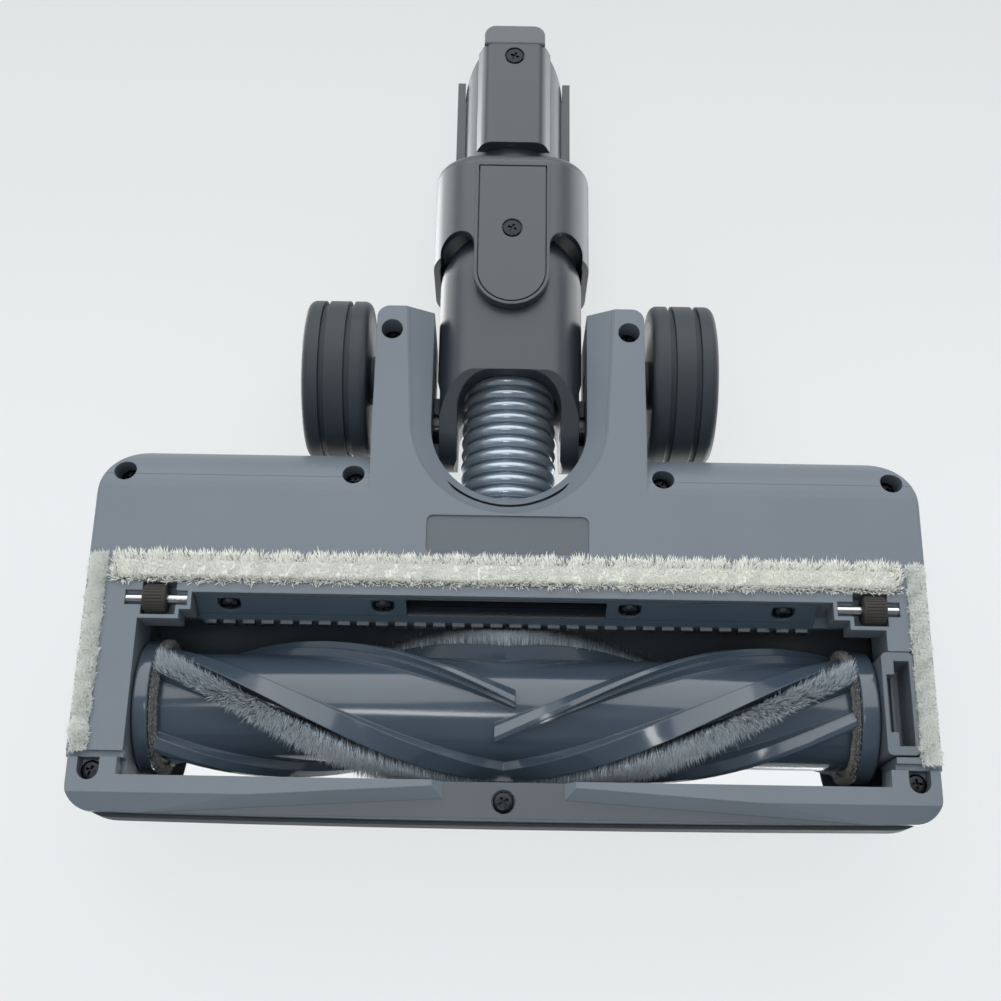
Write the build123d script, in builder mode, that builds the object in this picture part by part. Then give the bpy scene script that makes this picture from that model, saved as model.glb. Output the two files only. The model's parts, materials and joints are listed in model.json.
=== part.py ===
"""Motorised floor brush head of a stick vacuum cleaner, standing on the floor as it is used.

The head lies along X and faces -Y, the neck points along +Y, and the floor is z = 0.
A value whose name ends in "reach" is a distance backwards from the brush roller's axis,
unless its comment says otherwise. The drive end is at +X and the latch end at -X.
"""

import math
import os

from build123d import *

os.makedirs("parts", exist_ok=True)

# Overall sizes, in millimetres
head_width = 250.0
front_reach = 36.0  # roller axis to the front of the bumper
body_reach = 79.0  # roller axis to the back of the housing
pivot_reach = 93.0  # roller axis to the tilt axis of the neck
swing_reach = 45.0  # tilt axis to the swing axis of the neck
tip_reach = 99.4  # swing axis to the tip of the contact plug

# Heights
sole_z = 3.0
parting_z = 20.0
roller_z = 25.0
axis_z = 26.0  # tilt axis and wheel axles

# Walls and clearances
wall = 2.4
seam = 0.1  # between pieces that are fixed to each other
running = 0.05  # between a shaft and its hole
free = 0.4  # between pieces that move past each other
edge_round = 0.8

# Housing
rear_corner = 20.0
front_corner = 14.0
nose_bow = 1.0
sole_curve = 16.0
sole_edge = 1.0
bumper_thickness = 1.2
bumper_height = 7.6
bumper_wrap = 8.0  # how far the bumper runs back round the corners

# Brush chamber and its window in the sole
chamber_radius = 26.6
drive_end_width = 16.4  # side of the head to the chamber
latch_end_width = 13.2
bearing_wall = 3.6
window_front = 24.0  # in front of the roller axis
window_reach = 29.9
beam_width = 3.1

# Top cover
cover_slope = 12.0
cover_edge = 8.0
cover_rear_curve = 14.0
lens_margin = 25.0  # from the sides of the head
lens_start = 97.0
lens_end = 170.0

# Opening for the neck, and the arms beside it
opening_reach = 87.0
opening_radius = 24.5
bevel_width = 6.5
bevel_depth = 5.0
arm_outer = 42.5
arm_tip_width = 9.0
arm_reach = 126.0
arm_top = 40.0
arm_corner = 4.0
block_reach = 58.0
boss_radius = 11.0

# Front bar
bar_joint = 19.1  # in front of the roller axis, at the corners
joint_gap = 1.8
joint_depth = 1.6
bar_height = 6.2
bar_recess = 3.4
land_gap = 17.4
land_blunt = 4.8
land_margin = 13.0  # from the sides of the head
land_taper = 10.7
land_slant = 3.1  # how far the land's front wall leans out on its way down
corner_land_margin = 15.0
bar_inset = 1.0
bar_corner = 7.0
facet_front = 29.0  # in front of the roller axis
facet_slope = 33.0

# Plush strips, label recess and small floor rollers
plush_depth = 0.8
rear_plush_curve = 1.5
side_plush_curve = 0.75
rear_plush_margin = 8.0  # from the sides of the head
rear_plush_width = 8.2
side_plush_width = 5.0
side_plush_inset = 0.9
side_plush_rest = 0.5  # gap between the side strips and the floor
label_length = 49.0
label_width = 12.2
label_depth = 0.6
label_gap = 2.0
floor_roller_reach = 28.0
floor_roller_radius = 4.5
floor_roller_width = 6.9
floor_roller_curve = 0.75
floor_roller_rest = 0.3
floor_axle_radius = 1.5
floor_axle_length = 18.2
drive_roller_inset = 21.0  # side of the head to the middle of the roller
latch_roller_inset = 16.2
drive_axle_inset = 21.4
latch_axle_inset = 17.9
axle_room = 0.7  # beside the axle where it is put in
pocket_reach = 21.7
pocket_room = 2.8  # beside the floor roller, towards the middle
pocket_wall = 1.2
pocket_top = 12.0

# Brush roller
tube_radius = 16.0
tube_margin = 23.2  # from the sides of the head
rib_radius = 20.5
twist_pitch = 266.0
bristle_radius = 24.2
bristle_width = 4.2
bristle_angle = 162.5  # of the first strip at the middle, from +Y towards +Z
ramp_width = 6.0  # rib that backs a bristle strip, falling away from it
ramp_offset = 19.3
fence_width = 1.4  # thin rib on the other side of the strip
fence_offset = -10.5
middle_rib_width = 5.2
middle_rib_lip = 1.05
middle_rib_ridge = 1.65
middle_rib_angles = ((275.0, 241.6), (84.5, 118.8))  # drive half, latch half, at the middle
stagger_overlap = 3.0
pile_ring_width = 1.8
pile_ring_radius = 20.2
cap_radius = 20.0
cap_gap = 0.4
roller_axle_radius = 4.0
bearing_radius = 8.0

# Drive
belt_thickness = 1.6
belt_width = 6.0
motor_reach = 55.0
motor_z = 21.0
motor_radius = 13.0
motor_start = 10.0  # beside the arms
motor_end = 10.2  # to the wall of the belt space
motor_curve = 1.6
motor_boss_radius = 4.3
motor_shaft_radius = 1.6
motor_pulley_radius = 5.0
driven_pulley_radius = 13.0

# Release block at the latch end
block_inset = 15.6  # side of the head to the face towards the roller
block_width = 9.3
block_length = 30.0
block_corner = 1.6
block_proud = 0.6
bush_radius = 6.5
bush_length = 4.4
finger_length = 24.8
finger_width = 4.5
finger_wide_length = 16.8
finger_wide_width = 6.8
finger_depth = 13.0
finger_wall = 1.3
grip_width = 1.0
grip_height = 2.0

# Suction plate, duct and hose
slot_half = 30.0
slot_low = 3.6  # above the sole
slot_height = 7.4
plate_margin = 32.0  # from the sides of the head
plate_low = 3.0  # above the sole
plate_top_lean = 4.4
plate_seat = 0.5  # under the heads of the plate's screws
tooth_pitch = 5.8
tooth_width = 3.8
tooth_height = 3.0
tooth_depth = 1.2
plate_screw_gap = 7.0  # beside the slot
plate_screw_inset = 10.0  # from the plate's ends
duct_wall = 1.4
hose_radius = 15.2
hose_bore = 12.4
hose_pitch = 4.2
hose_ridge = 1.4  # height of one ring
hose_flank = 0.3  # share of the pitch that one side of a ring takes
hose_start_reach = 60.5
hose_end_reach = 121.0
spigot_length = 8.0

# Wheels
wheel_reach = 110.0
wheel_radius = 26.0
wheel_width = 20.4
wheel_gap = 2.8
tyre_depth = 5.0
tyre_curve = 2.5
groove_width = 1.8
groove_depth = 1.6
groove_spacing = 8.0
wheel_axle_radius = 4.0
axle_head_radius = 6.0
hub_boss_radius = 8.0

# Neck yoke
yoke_width = 46.4
yoke_height = 44.0
yoke_corner = 12.0
ear_radius = 14.0
ear_face = 22.2  # outer face of the ears, from the middle
yoke_bore = 17.5
cutout_half = 16.5
cutout_reach = 104.8
cutout_corner = 11.0
pin_radius = 5.0
pin_depth = 6.0

# Swivel sleeve, connector tube and plug
sleeve_size = 51.6
sleeve_corner = 16.0
sleeve_reach = 146.0
sleeve_length = 37.0
tongue_half = 12.2
notch_depth = 7.0
cover_half = 10.8
cover_thickness = 1.6
cover_length = 50.0
tube_outer = 17.2
tube_bore = 14.7
throat_bore = 14.0
tube_inset = 17.0
tube_length = 52.0
hood_bore = 15.6
rail_height = 7.0
rail_depth = 2.6
rail_length = 36.0
strip_half = 10.0
strip_curve = 5.0
strip_length = 40.0
strip_gap = 6.5
strip_thickness = 3.6
plug_half = 10.5
plug_corner = 4.0
contact_depth = 7.75
contact_rise = 3.0
contact_radius = 1.2
contact_spacing = 5.5

# Screws
head_radius = 3.0
head_height = 2.0
shank_radius = 1.5
screw_hole = 3.4
boss_wall = 1.4
thread_grip = 4.5
thread_hole = 6.0
rear_screw_depth = 10.0  # sole to the seat of the head
rear_screw_reach = 68.5
rear_screw_inset = 7.8  # from the sides of the head
rear_screw_gap = 4.9  # beside the arms
arm_screw_depth = 9.0
arm_screw_reach = 117.7
arm_screw_x = 37.6
corner_screw_inset = 7.0  # from the sides of the head
corner_screw_front = 22.5  # in front of the roller axis
middle_screw_front = 29.5
cover_screw_reach = 153.5
strip_screw_back = 5.0  # from the back end of the wire cover

# Places along X
half_width = head_width / 2
drive_wall_x = half_width - drive_end_width
latch_wall_x = latch_end_width - half_width
belt_wall_x = drive_wall_x + bearing_wall
belt_x = (belt_wall_x + half_width - wall) / 2 - belt_width / 2
motor_x = arm_outer + motor_start
motor_length = belt_wall_x - motor_end - motor_x
tube_half = half_width - tube_margin
plate_half = half_width - plate_margin
lens_half = half_width - lens_margin
rear_plush_half = half_width - rear_plush_margin
land_end_x = half_width - land_margin
corner_land_x = half_width - corner_land_margin
block_face_x = block_inset - half_width
block_x = block_face_x - block_width / 2
pocket_x = block_face_x - block_width - free  # far wall of the release block's pocket
rear_screw_x = (half_width - rear_screw_inset, arm_outer + rear_screw_gap)
corner_screw_x = half_width - corner_screw_inset
plate_screw_x = (slot_half + plate_screw_gap, plate_half - plate_screw_inset)

# Places along Y
overall_length = front_reach + pivot_reach + swing_reach + tip_reach
roller_y = front_reach - overall_length / 2
nose_y = roller_y - front_reach + bumper_thickness
body_y = roller_y + body_reach
pivot_y = roller_y + pivot_reach
swing_y = pivot_y + swing_reach
tip_y = swing_y + tip_reach
window_back_y = roller_y + window_reach
chamber_back_y = window_back_y + beam_width
opening_y = roller_y + opening_reach
arm_y = roller_y + arm_reach
wheel_y = roller_y + wheel_reach
motor_y = roller_y + motor_reach
floor_roller_y = roller_y + floor_roller_reach
joint_y = roller_y - bar_joint
sole_front_y = joint_y + joint_gap
bar_back_y = roller_y - window_front
bar_top = sole_z + bar_height
floor_top = sole_z + wall
plate_base = sole_z + plate_low
plate_screw_z = plate_base + slot_height / 2
slot_base = sole_z + slot_low
slot_top = slot_base + slot_height
plush_back_y = chamber_back_y + rear_plush_width
sleeve_y = roller_y + sleeve_reach
sleeve_back = sleeve_y + sleeve_length
strip_y = sleeve_back + strip_gap
strip_end = strip_y + strip_length
strip_screw_y = strip_end - strip_screw_back
cover_screw_y = roller_y + cover_screw_reach
tall = 2 * (parting_z + roller_z)  # taller than the head

pieces = {}


def side(x):
    """Plane along the head at x, with Y as its first axis and Z as its second."""
    return Plane.YZ.offset(x)


def across(y):
    """Plane across the neck at y, facing backwards, with Z as its second axis."""
    return Plane(origin=(0, y, 0), x_dir=(-1, 0, 0), z_dir=(0, 1, 0))


def rod_x(radius, x0, x1, y, z, mode=Mode.ADD):
    """Round bar or hole along X."""
    with BuildSketch(side(x0)) as disc:
        with Locations((y, z)):
            Circle(radius)
    extrude(disc.sketch, amount=x1 - x0, mode=mode)


def rod_y(radius, y0, y1, x, z, mode=Mode.ADD):
    """Round bar or hole along Y."""
    with BuildSketch(across(y0)) as disc:
        with Locations((-x, z)):
            Circle(radius)
    extrude(disc.sketch, amount=y1 - y0, mode=mode)


def rod_z(radius, z0, z1, x, y, mode=Mode.ADD):
    """Round bar or hole along Z."""
    with BuildSketch(Plane.XY.offset(z0)) as disc:
        with Locations((x, y)):
            Circle(radius)
    extrude(disc.sketch, amount=z1 - z0, mode=mode)


def block(x0, x1, y0, y1, z0, z1, mode=Mode.ADD):
    """Square-cornered block or pocket between two corners."""
    with BuildSketch(Plane.XY.offset(z0)) as base:
        with Locations(((x0 + x1) / 2, (y0 + y1) / 2)):
            Rectangle(abs(x1 - x0), abs(y1 - y0))
    extrude(base.sketch, amount=z1 - z0, mode=mode)


def keep(name, part):
    """Labels a finished piece and puts it on the list of pieces to write."""
    part.label = name
    pieces[name] = part


def head_plan(inset, z):
    """Outline of the head seen from above, pulled in by inset, as a sketch at height z."""
    half = half_width - inset
    front = nose_y + inset
    back = body_y - inset
    with BuildSketch(Plane.XY.offset(z)) as plan:
        with BuildLine():
            ThreePointArc((-half, front + nose_bow), (0, front), (half, front + nose_bow))
            Polyline(
                (half, front + nose_bow), (half, back), (-half, back), (-half, front + nose_bow)
            )
        make_face()
        fillet(plan.vertices().group_by(Axis.Y)[-1], rear_corner - inset)
        fillet(plan.vertices().group_by(Axis.Y)[0], front_corner - inset)
    return plan.sketch


def opening_plan(radius, tip_half, z):
    """Outline of the neck's opening: a half round that runs out between the arms."""
    end = arm_y + wall
    with BuildSketch(Plane.XY.offset(z)) as plan:
        with BuildLine():
            CenterArc((0, opening_y), radius, 180, 180)
            Polyline((radius, opening_y), (tip_half, end), (-tip_half, end), (-radius, opening_y))
        make_face()
    return plan.sketch


def cut_opening():
    """Cuts the neck's opening right through, with a bevel round its rim in the sole."""
    straight = opening_plan(opening_radius, opening_radius, 0)
    rim = opening_plan(opening_radius + bevel_width, arm_outer - arm_tip_width, sole_z)
    throat = opening_plan(opening_radius, opening_radius, sole_z + bevel_depth)
    extrude(straight, amount=tall, mode=Mode.SUBTRACT)
    loft([rim, throat], mode=Mode.SUBTRACT)


def sole_block(inset):
    """Outer form of the lower housing, pulled in by inset: flat below and curved up at the back."""
    low = sole_z + inset
    top = parting_z + inset
    back = body_y - inset
    curve = sole_curve - inset
    with BuildPart() as form:
        extrude(head_plan(inset, low), amount=top - low)
        with BuildSketch(side(-head_width)):
            with BuildLine():
                Polyline((back - curve, low), (nose_y - wall, low), (nose_y - wall, top), (back, top))
                Line((back, top), (back, low + curve))
                RadiusArc((back, low + curve), (back - curve, low), curve)
            make_face()
        extrude(amount=2 * head_width, mode=Mode.INTERSECT)
        with BuildSketch(across(nose_y - wall)) as section:
            with Locations((0, (low + top) / 2)):
                Rectangle(head_width - 2 * inset, top - low)
            fillet(section.vertices().group_by(Axis.Y)[0], sole_edge)
        extrude(amount=overall_length, mode=Mode.INTERSECT)
    return form.part


def cover_block(inset):
    """Outer form of the top cover, pulled in by inset: round over the roller, sloping backwards."""
    radius = chamber_radius + wall - inset
    slope = math.radians(cover_slope)
    low = parting_z
    back = body_y - inset
    crest = (roller_y + radius * math.sin(slope), roller_z + radius * math.cos(slope))
    rear_z = crest[1] - (back - crest[0]) * math.tan(slope)
    with BuildPart() as form:
        with BuildSketch(side(-half_width + inset)) as profile:
            with BuildLine():
                CenterArc((roller_y, roller_z), radius, 90 - cover_slope, 90 + cover_slope)
                Polyline((roller_y - radius, roller_z), (roller_y - radius, low), (back, low))
                Polyline((back, low), (back, rear_z), crest)
            make_face()
            rear_corner_point = profile.vertices().sort_by(Axis.X)[-2:].sort_by(Axis.Y)[-1]
            fillet(rear_corner_point, cover_rear_curve - inset)
        extrude(amount=head_width - 2 * inset)
        ends = form.faces().filter_by(Axis.X).edges()
        fillet(ends.filter_by_position(Axis.Z, low + seam, tall), cover_edge - inset)
        extrude(head_plan(inset, low), amount=tall, mode=Mode.INTERSECT)
    return form.part


def lens_sector(inner, outer, start, end, half):
    """Curved panel about the roller axis, from angle start to angle end, from -half to half along X."""
    with BuildSketch(side(-half)) as sector:
        with BuildLine():
            far = CenterArc((roller_y, roller_z), outer, start, end - start)
            near = CenterArc((roller_y, roller_z), inner, start, end - start)
            Line(far @ 0, near @ 0)
            Line(far @ 1, near @ 1)
        make_face()
    return sector.sketch


rear_screws = [(sign * x, roller_y + rear_screw_reach) for sign in (1, -1) for x in rear_screw_x]
arm_screws = [(sign * arm_screw_x, roller_y + arm_screw_reach) for sign in (1, -1)]
corner_screws = [(sign * corner_screw_x, roller_y - corner_screw_front) for sign in (1, -1)]
middle_screw = (0, roller_y - middle_screw_front)
plate_screws = [sign * x for sign in (1, -1) for x in plate_screw_x]
rear_head_z = sole_z + rear_screw_depth
arm_head_z = sole_z + arm_screw_depth
bar_head_z = sole_z + bar_recess + head_height
floor_axle_z = floor_roller_rest + floor_roller_radius
floor_roller_places = {
    "drive": (half_width - drive_roller_inset, half_width - drive_axle_inset, drive_wall_x),
    "latch": (latch_roller_inset - half_width, latch_axle_inset - half_width, latch_wall_x),
}

# Both arms at full height, later cut in two at the axles
with BuildPart() as arm_pair:
    with BuildSketch(Plane.XY.offset(sole_z)) as arm_plan:
        with Locations((0, (body_y + arm_y) / 2)):
            Rectangle(2 * arm_outer, arm_y - body_y)
        fillet(arm_plan.vertices().group_by(Axis.Y)[-1], arm_corner)
    extrude(amount=arm_top - sole_z)
    fillet(arm_pair.faces().sort_by(Axis.Z)[-1].edges().filter_by(Axis.Y), arm_corner)
    cut_opening()
    for sign in (1, -1):
        rod_x(boss_radius, sign * (ear_face + free), sign * (opening_radius + wall), pivot_y, axis_z)
    pin_end = arm_outer - pin_depth
    rod_x(pin_radius + seam / 2, -pin_end, pin_end, pivot_y, axis_z, Mode.SUBTRACT)
    rod_x(wheel_axle_radius + seam / 2, -arm_outer, arm_outer, wheel_y, axis_z, Mode.SUBTRACT)
    for x, y in arm_screws:
        rod_z(screw_hole, 0, arm_head_z, x, y, Mode.SUBTRACT)
        rod_z(shank_radius + running, 0, arm_top - arm_corner, x, y, Mode.SUBTRACT)

# Space inside the lower housing behind the brush chamber
with BuildPart() as rear_space:
    add(sole_block(wall))
    block(-half_width, half_width, chamber_back_y, body_y, 0, tall, Mode.INTERSECT)
    rod_z(opening_radius + wall, 0, tall, 0, opening_y, Mode.SUBTRACT)
    for x, y in rear_screws:
        rod_z(screw_hole + boss_wall, 0, tall, x, y, Mode.SUBTRACT)
    for x in (motor_x + wall, motor_x + motor_length - 2 * wall):
        cradle = motor_radius / 2
        block(x, x + wall, motor_y - cradle, motor_y + cradle, 0, motor_z, Mode.SUBTRACT)
    rod_x(motor_radius + seam, motor_x, motor_x + motor_length, motor_y, motor_z)

with BuildPart() as base_housing:
    add(sole_block(0))
    block(-arm_outer, arm_outer, roller_y + block_reach, body_y, sole_z, parting_z)
    add(rear_space.part, mode=Mode.SUBTRACT)
    add(split(arm_pair.part, bisect_by=Plane.XY.offset(axis_z), keep=Keep.BOTTOM, mode=Mode.PRIVATE))
    # Opening for the neck, with its bevelled rim and the hole for the hose
    cut_opening()
    rod_y(hose_radius + free, chamber_back_y + wall, opening_y, 0, axis_z, Mode.SUBTRACT)
    # Brush chamber, open below, and the seat of the front bar
    block(latch_wall_x, drive_wall_x, roller_y - chamber_radius, window_back_y, 0, tall, Mode.SUBTRACT)
    block(-half_width, half_width, nose_y, joint_y + seam, 0, bar_top + seam, Mode.SUBTRACT)
    block(-half_width, half_width, joint_y, sole_front_y, 0, sole_z + joint_depth, Mode.SUBTRACT)
    # Pockets at the window's back corners that hold the small floor rollers
    for x, axle_x, wall_x in floor_roller_places.values():
        sign = math.copysign(1, x)
        half_axle = floor_axle_length / 2 + seam
        seat = floor_axle_radius + running
        trough = seat + axle_room
        reach = floor_roller_radius + free
        inner_x = x - sign * (floor_roller_width / 2 + pocket_room)
        outer_x = x + sign * (floor_roller_width / 2 + free)
        seat_x = axle_x - sign * (half_axle + pocket_wall)
        seat_y = floor_roller_y - trough - pocket_wall
        front = roller_y + pocket_reach
        block(seat_x, wall_x, seat_y, window_back_y, sole_z, pocket_top)
        block(inner_x - sign * pocket_wall, wall_x, front, window_back_y, sole_z, pocket_top)
        block(
            inner_x, outer_x, front + pocket_wall, floor_roller_y + reach,
            0, floor_axle_z + reach, Mode.SUBTRACT,
        )
        block(
            axle_x - half_axle, axle_x + half_axle, floor_roller_y - trough, floor_roller_y + trough,
            0, floor_axle_z, Mode.SUBTRACT,
        )
        rod_x(seat, axle_x - half_axle, axle_x + half_axle, floor_roller_y, floor_axle_z, Mode.SUBTRACT)
    # Belt space and bearing seat at the drive end, pocket of the release block at the other
    belt_front_y = joint_y + wall
    belt_back_y = chamber_back_y + seam
    block(belt_wall_x, half_width - wall, belt_front_y, belt_back_y, floor_top, tall, Mode.SUBTRACT)
    rod_x(bearing_radius + seam / 2, drive_wall_x, belt_wall_x, roller_y, roller_z, Mode.SUBTRACT)
    pocket_half = block_length / 2 + free
    block(
        pocket_x, latch_wall_x, roller_y - pocket_half, roller_y + pocket_half, 0, tall, Mode.SUBTRACT
    )
    # Grooves of the plush strips and the bare label recess
    groove_half = rear_plush_half + seam
    plush_top = sole_z + plush_depth
    block(-groove_half, groove_half, chamber_back_y, plush_back_y + seam, 0, plush_top, Mode.SUBTRACT)
    for sign in (1, -1):
        outer = sign * (half_width - side_plush_inset + seam)
        inner = sign * (half_width - side_plush_inset - side_plush_width - seam)
        block(outer, inner, sole_front_y, plush_back_y, 0, plush_top, Mode.SUBTRACT)
    label_y = plush_back_y + label_gap + label_width / 2
    with BuildSketch(Plane.XY.offset(sole_z)):
        with Locations((0, label_y)):
            RectangleRounded(label_length, label_width, label_gap)
    extrude(amount=label_depth, mode=Mode.SUBTRACT)
    # Notch for the mouth of the suction duct, and screw holes
    notch_half = slot_half + duct_wall + seam
    notch_back_y = chamber_back_y + wall
    block(-notch_half, notch_half, window_back_y, notch_back_y, slot_base, tall, Mode.SUBTRACT)
    for x, y in rear_screws:
        rod_z(screw_hole, 0, rear_head_z, x, y, Mode.SUBTRACT)
        rod_z(shank_radius + running, 0, parting_z, x, y, Mode.SUBTRACT)
    for x, y in corner_screws + [middle_screw]:
        rod_z(shank_radius + running, 0, parting_z - wall, x, y, Mode.SUBTRACT)
    for x in plate_screws:
        rod_y(
            shank_radius + running, window_back_y, chamber_back_y, x, plate_screw_z, Mode.SUBTRACT
        )
keep("base_housing", base_housing.part)

for name, sign in (("drive", 1), ("latch", -1)):
    with BuildPart() as arm_cap:
        add(arm_pair.part)
        split(bisect_by=Plane.XY.offset(axis_z), keep=Keep.TOP)
        block(0, sign * head_width, body_y, arm_y, axis_z, tall, Mode.INTERSECT)
    keep(f"{name}_arm_cap", arm_cap.part)

# Space inside the top cover, outside the brush chamber
with BuildPart() as cover_space:
    add(cover_block(wall))
    with BuildSketch(side(pocket_x)):
        with Locations((roller_y, roller_z)):
            Circle(chamber_radius + wall)
        with Locations(((nose_y + chamber_back_y) / 2, roller_z / 2)):
            Rectangle(chamber_back_y - nose_y, roller_z)
    extrude(amount=belt_wall_x - pocket_x, mode=Mode.SUBTRACT)
    rod_z(opening_radius + wall, 0, tall, 0, opening_y, Mode.SUBTRACT)
    for x, y in rear_screws:
        rod_z(screw_hole + boss_wall, 0, tall, x, y, Mode.SUBTRACT)

with BuildPart() as top_cover:
    add(cover_block(0))
    add(cover_space.part, mode=Mode.SUBTRACT)
    rod_x(chamber_radius, pocket_x, drive_wall_x, roller_y, roller_z, Mode.SUBTRACT)
    chamber_low = roller_y - chamber_radius
    chamber_high = roller_y + chamber_radius
    block(pocket_x, drive_wall_x, chamber_low, chamber_high, 0, roller_z, Mode.SUBTRACT)
    rod_x(bearing_radius + seam / 2, drive_wall_x, belt_wall_x, roller_y, roller_z, Mode.SUBTRACT)
    axle_slot = roller_axle_radius + free
    block(
        drive_wall_x, belt_wall_x, roller_y - axle_slot, roller_y + axle_slot,
        0, roller_z, Mode.SUBTRACT,
    )
    rod_z(opening_radius, 0, tall, 0, opening_y, Mode.SUBTRACT)
    rod_y(hose_radius + free, chamber_back_y + wall, opening_y, 0, axis_z, Mode.SUBTRACT)
    pane = lens_sector(
        chamber_radius - wall, chamber_radius + 2 * wall, lens_start, lens_end, lens_half
    )
    extrude(pane, amount=2 * lens_half, mode=Mode.SUBTRACT)
    for x, y in rear_screws:
        rod_z(shank_radius + running, 0, parting_z + thread_hole, x, y, Mode.SUBTRACT)
keep("top_cover", top_cover.part)

with BuildPart() as front_window:
    lens_seam = math.degrees(seam / chamber_radius)
    pane = lens_sector(
        chamber_radius, chamber_radius + wall,
        lens_start + lens_seam, lens_end - lens_seam, lens_half - seam,
    )
    extrude(pane, amount=2 * (lens_half - seam))
keep("front_window", front_window.part)


def bar_recess_plan(grow, z):
    """Outline of the hollow under the front bar at height z, its back edges moved out by grow."""
    gap = land_gap + grow
    blunt_y = bar_back_y - land_blunt + grow
    taper_y = bar_back_y - land_taper + grow
    front = nose_y - wall
    back = bar_back_y + wall
    with BuildSketch(Plane.XY.offset(z)) as plan:
        with BuildLine():
            Polyline(
                (-land_end_x, front), (-land_end_x, taper_y), (-gap, blunt_y), (-gap, back),
                (gap, back), (gap, blunt_y), (land_end_x, taper_y), (land_end_x, front), close=True,
            )
        make_face()
    return plan.sketch


# Front bar: a low plate with a raised land at each side that tapers to the corner
with BuildPart() as front_bar:
    bar_half = half_width - bar_inset
    bar_nose = nose_y + nose_bow
    with BuildSketch(Plane.XY.offset(sole_z)) as bar_plan:
        with BuildLine():
            ThreePointArc((-bar_half, bar_nose), (0, nose_y), (bar_half, bar_nose))
            Polyline(
                (bar_half, bar_nose), (bar_half, roller_y), (-bar_half, roller_y), (-bar_half, bar_nose)
            )
        make_face()
        fillet(bar_plan.vertices().group_by(Axis.Y)[0], bar_corner)
    extrude(amount=bar_height)
    with BuildSketch(Plane.XY):
        with BuildLine():
            Polyline(
                (-head_width, nose_y - wall), (head_width, nose_y - wall), (head_width, joint_y),
                (corner_land_x, joint_y), (corner_land_x, bar_back_y), (-corner_land_x, bar_back_y),
                (-corner_land_x, joint_y), (-head_width, joint_y), close=True,
            )
        make_face()
    extrude(amount=tall, mode=Mode.INTERSECT)
    loft([bar_recess_plan(0, sole_z + bar_recess), bar_recess_plan(land_slant, sole_z)], mode=Mode.SUBTRACT)
    # A facet along the front that the recess leaves only at the corners
    facet_y = roller_y - facet_front
    facet_rise = (facet_y - nose_y + wall) * math.tan(math.radians(facet_slope))
    with BuildSketch(side(-head_width)):
        with BuildLine():
            Polyline(
                (facet_y, sole_z), (nose_y - wall, sole_z), (nose_y - wall, sole_z + facet_rise), close=True
            )
        make_face()
    extrude(amount=2 * head_width, mode=Mode.SUBTRACT)
    notch = head_radius + seam
    for x, y in corner_screws:
        rod_z(notch, 0, bar_head_z, x, y, Mode.SUBTRACT)
        block(x - notch, x + notch, y, joint_y, 0, bar_head_z, Mode.SUBTRACT)
    rod_z(screw_hole, 0, bar_head_z, *middle_screw, Mode.SUBTRACT)
    for x, y in corner_screws + [middle_screw]:
        rod_z(shank_radius + running, 0, bar_top, x, y, Mode.SUBTRACT)
keep("front_bar", front_bar.part)

with BuildPart() as front_bumper:
    extrude(head_plan(-bumper_thickness, bar_top + seam), amount=bumper_height)
    extrude(head_plan(-seam, 0), amount=tall, mode=Mode.SUBTRACT)
    block(-head_width, head_width, nose_y - wall, nose_y + bumper_wrap, 0, tall, Mode.INTERSECT)
keep("front_bumper", front_bumper.part)

# Plush strips under the sole
with BuildPart() as rear_plush:
    block(-rear_plush_half, rear_plush_half, chamber_back_y + seam, plush_back_y, 0, plush_top)
    fillet(rear_plush.edges().filter_by(Axis.X).group_by(Axis.Z)[0], rear_plush_curve)
keep("rear_plush", rear_plush.part)

for name, sign in (("drive", 1), ("latch", -1)):
    with BuildPart() as side_plush:
        outer = sign * (half_width - side_plush_inset)
        inner = sign * (half_width - side_plush_inset - side_plush_width)
        block(outer, inner, sole_front_y + seam, plush_back_y - seam, side_plush_rest, plush_top)
        fillet(side_plush.edges().filter_by(Axis.Y).group_by(Axis.Z)[0], side_plush_curve)
    keep(f"{name}_side_plush", side_plush.part)

# Small floor rollers on their axles
for name, (x, axle_x, wall_x) in floor_roller_places.items():
    low_x = x - floor_roller_width / 2
    high_x = x + floor_roller_width / 2
    hole = floor_axle_radius + running
    with BuildPart() as floor_roller:
        rod_x(floor_roller_radius, low_x, high_x, floor_roller_y, floor_axle_z)
        fillet(floor_roller.edges().filter_by(GeomType.CIRCLE), floor_roller_curve)
        rod_x(hole, low_x, high_x, floor_roller_y, floor_axle_z, Mode.SUBTRACT)
    keep(f"{name}_floor_roller", floor_roller.part)
    with BuildPart() as floor_axle:
        half_axle = floor_axle_length / 2
        rod_x(
            floor_axle_radius, axle_x - half_axle, axle_x + half_axle, floor_roller_y, floor_axle_z
        )
    keep(f"{name}_floor_axle", floor_axle.part)

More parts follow.
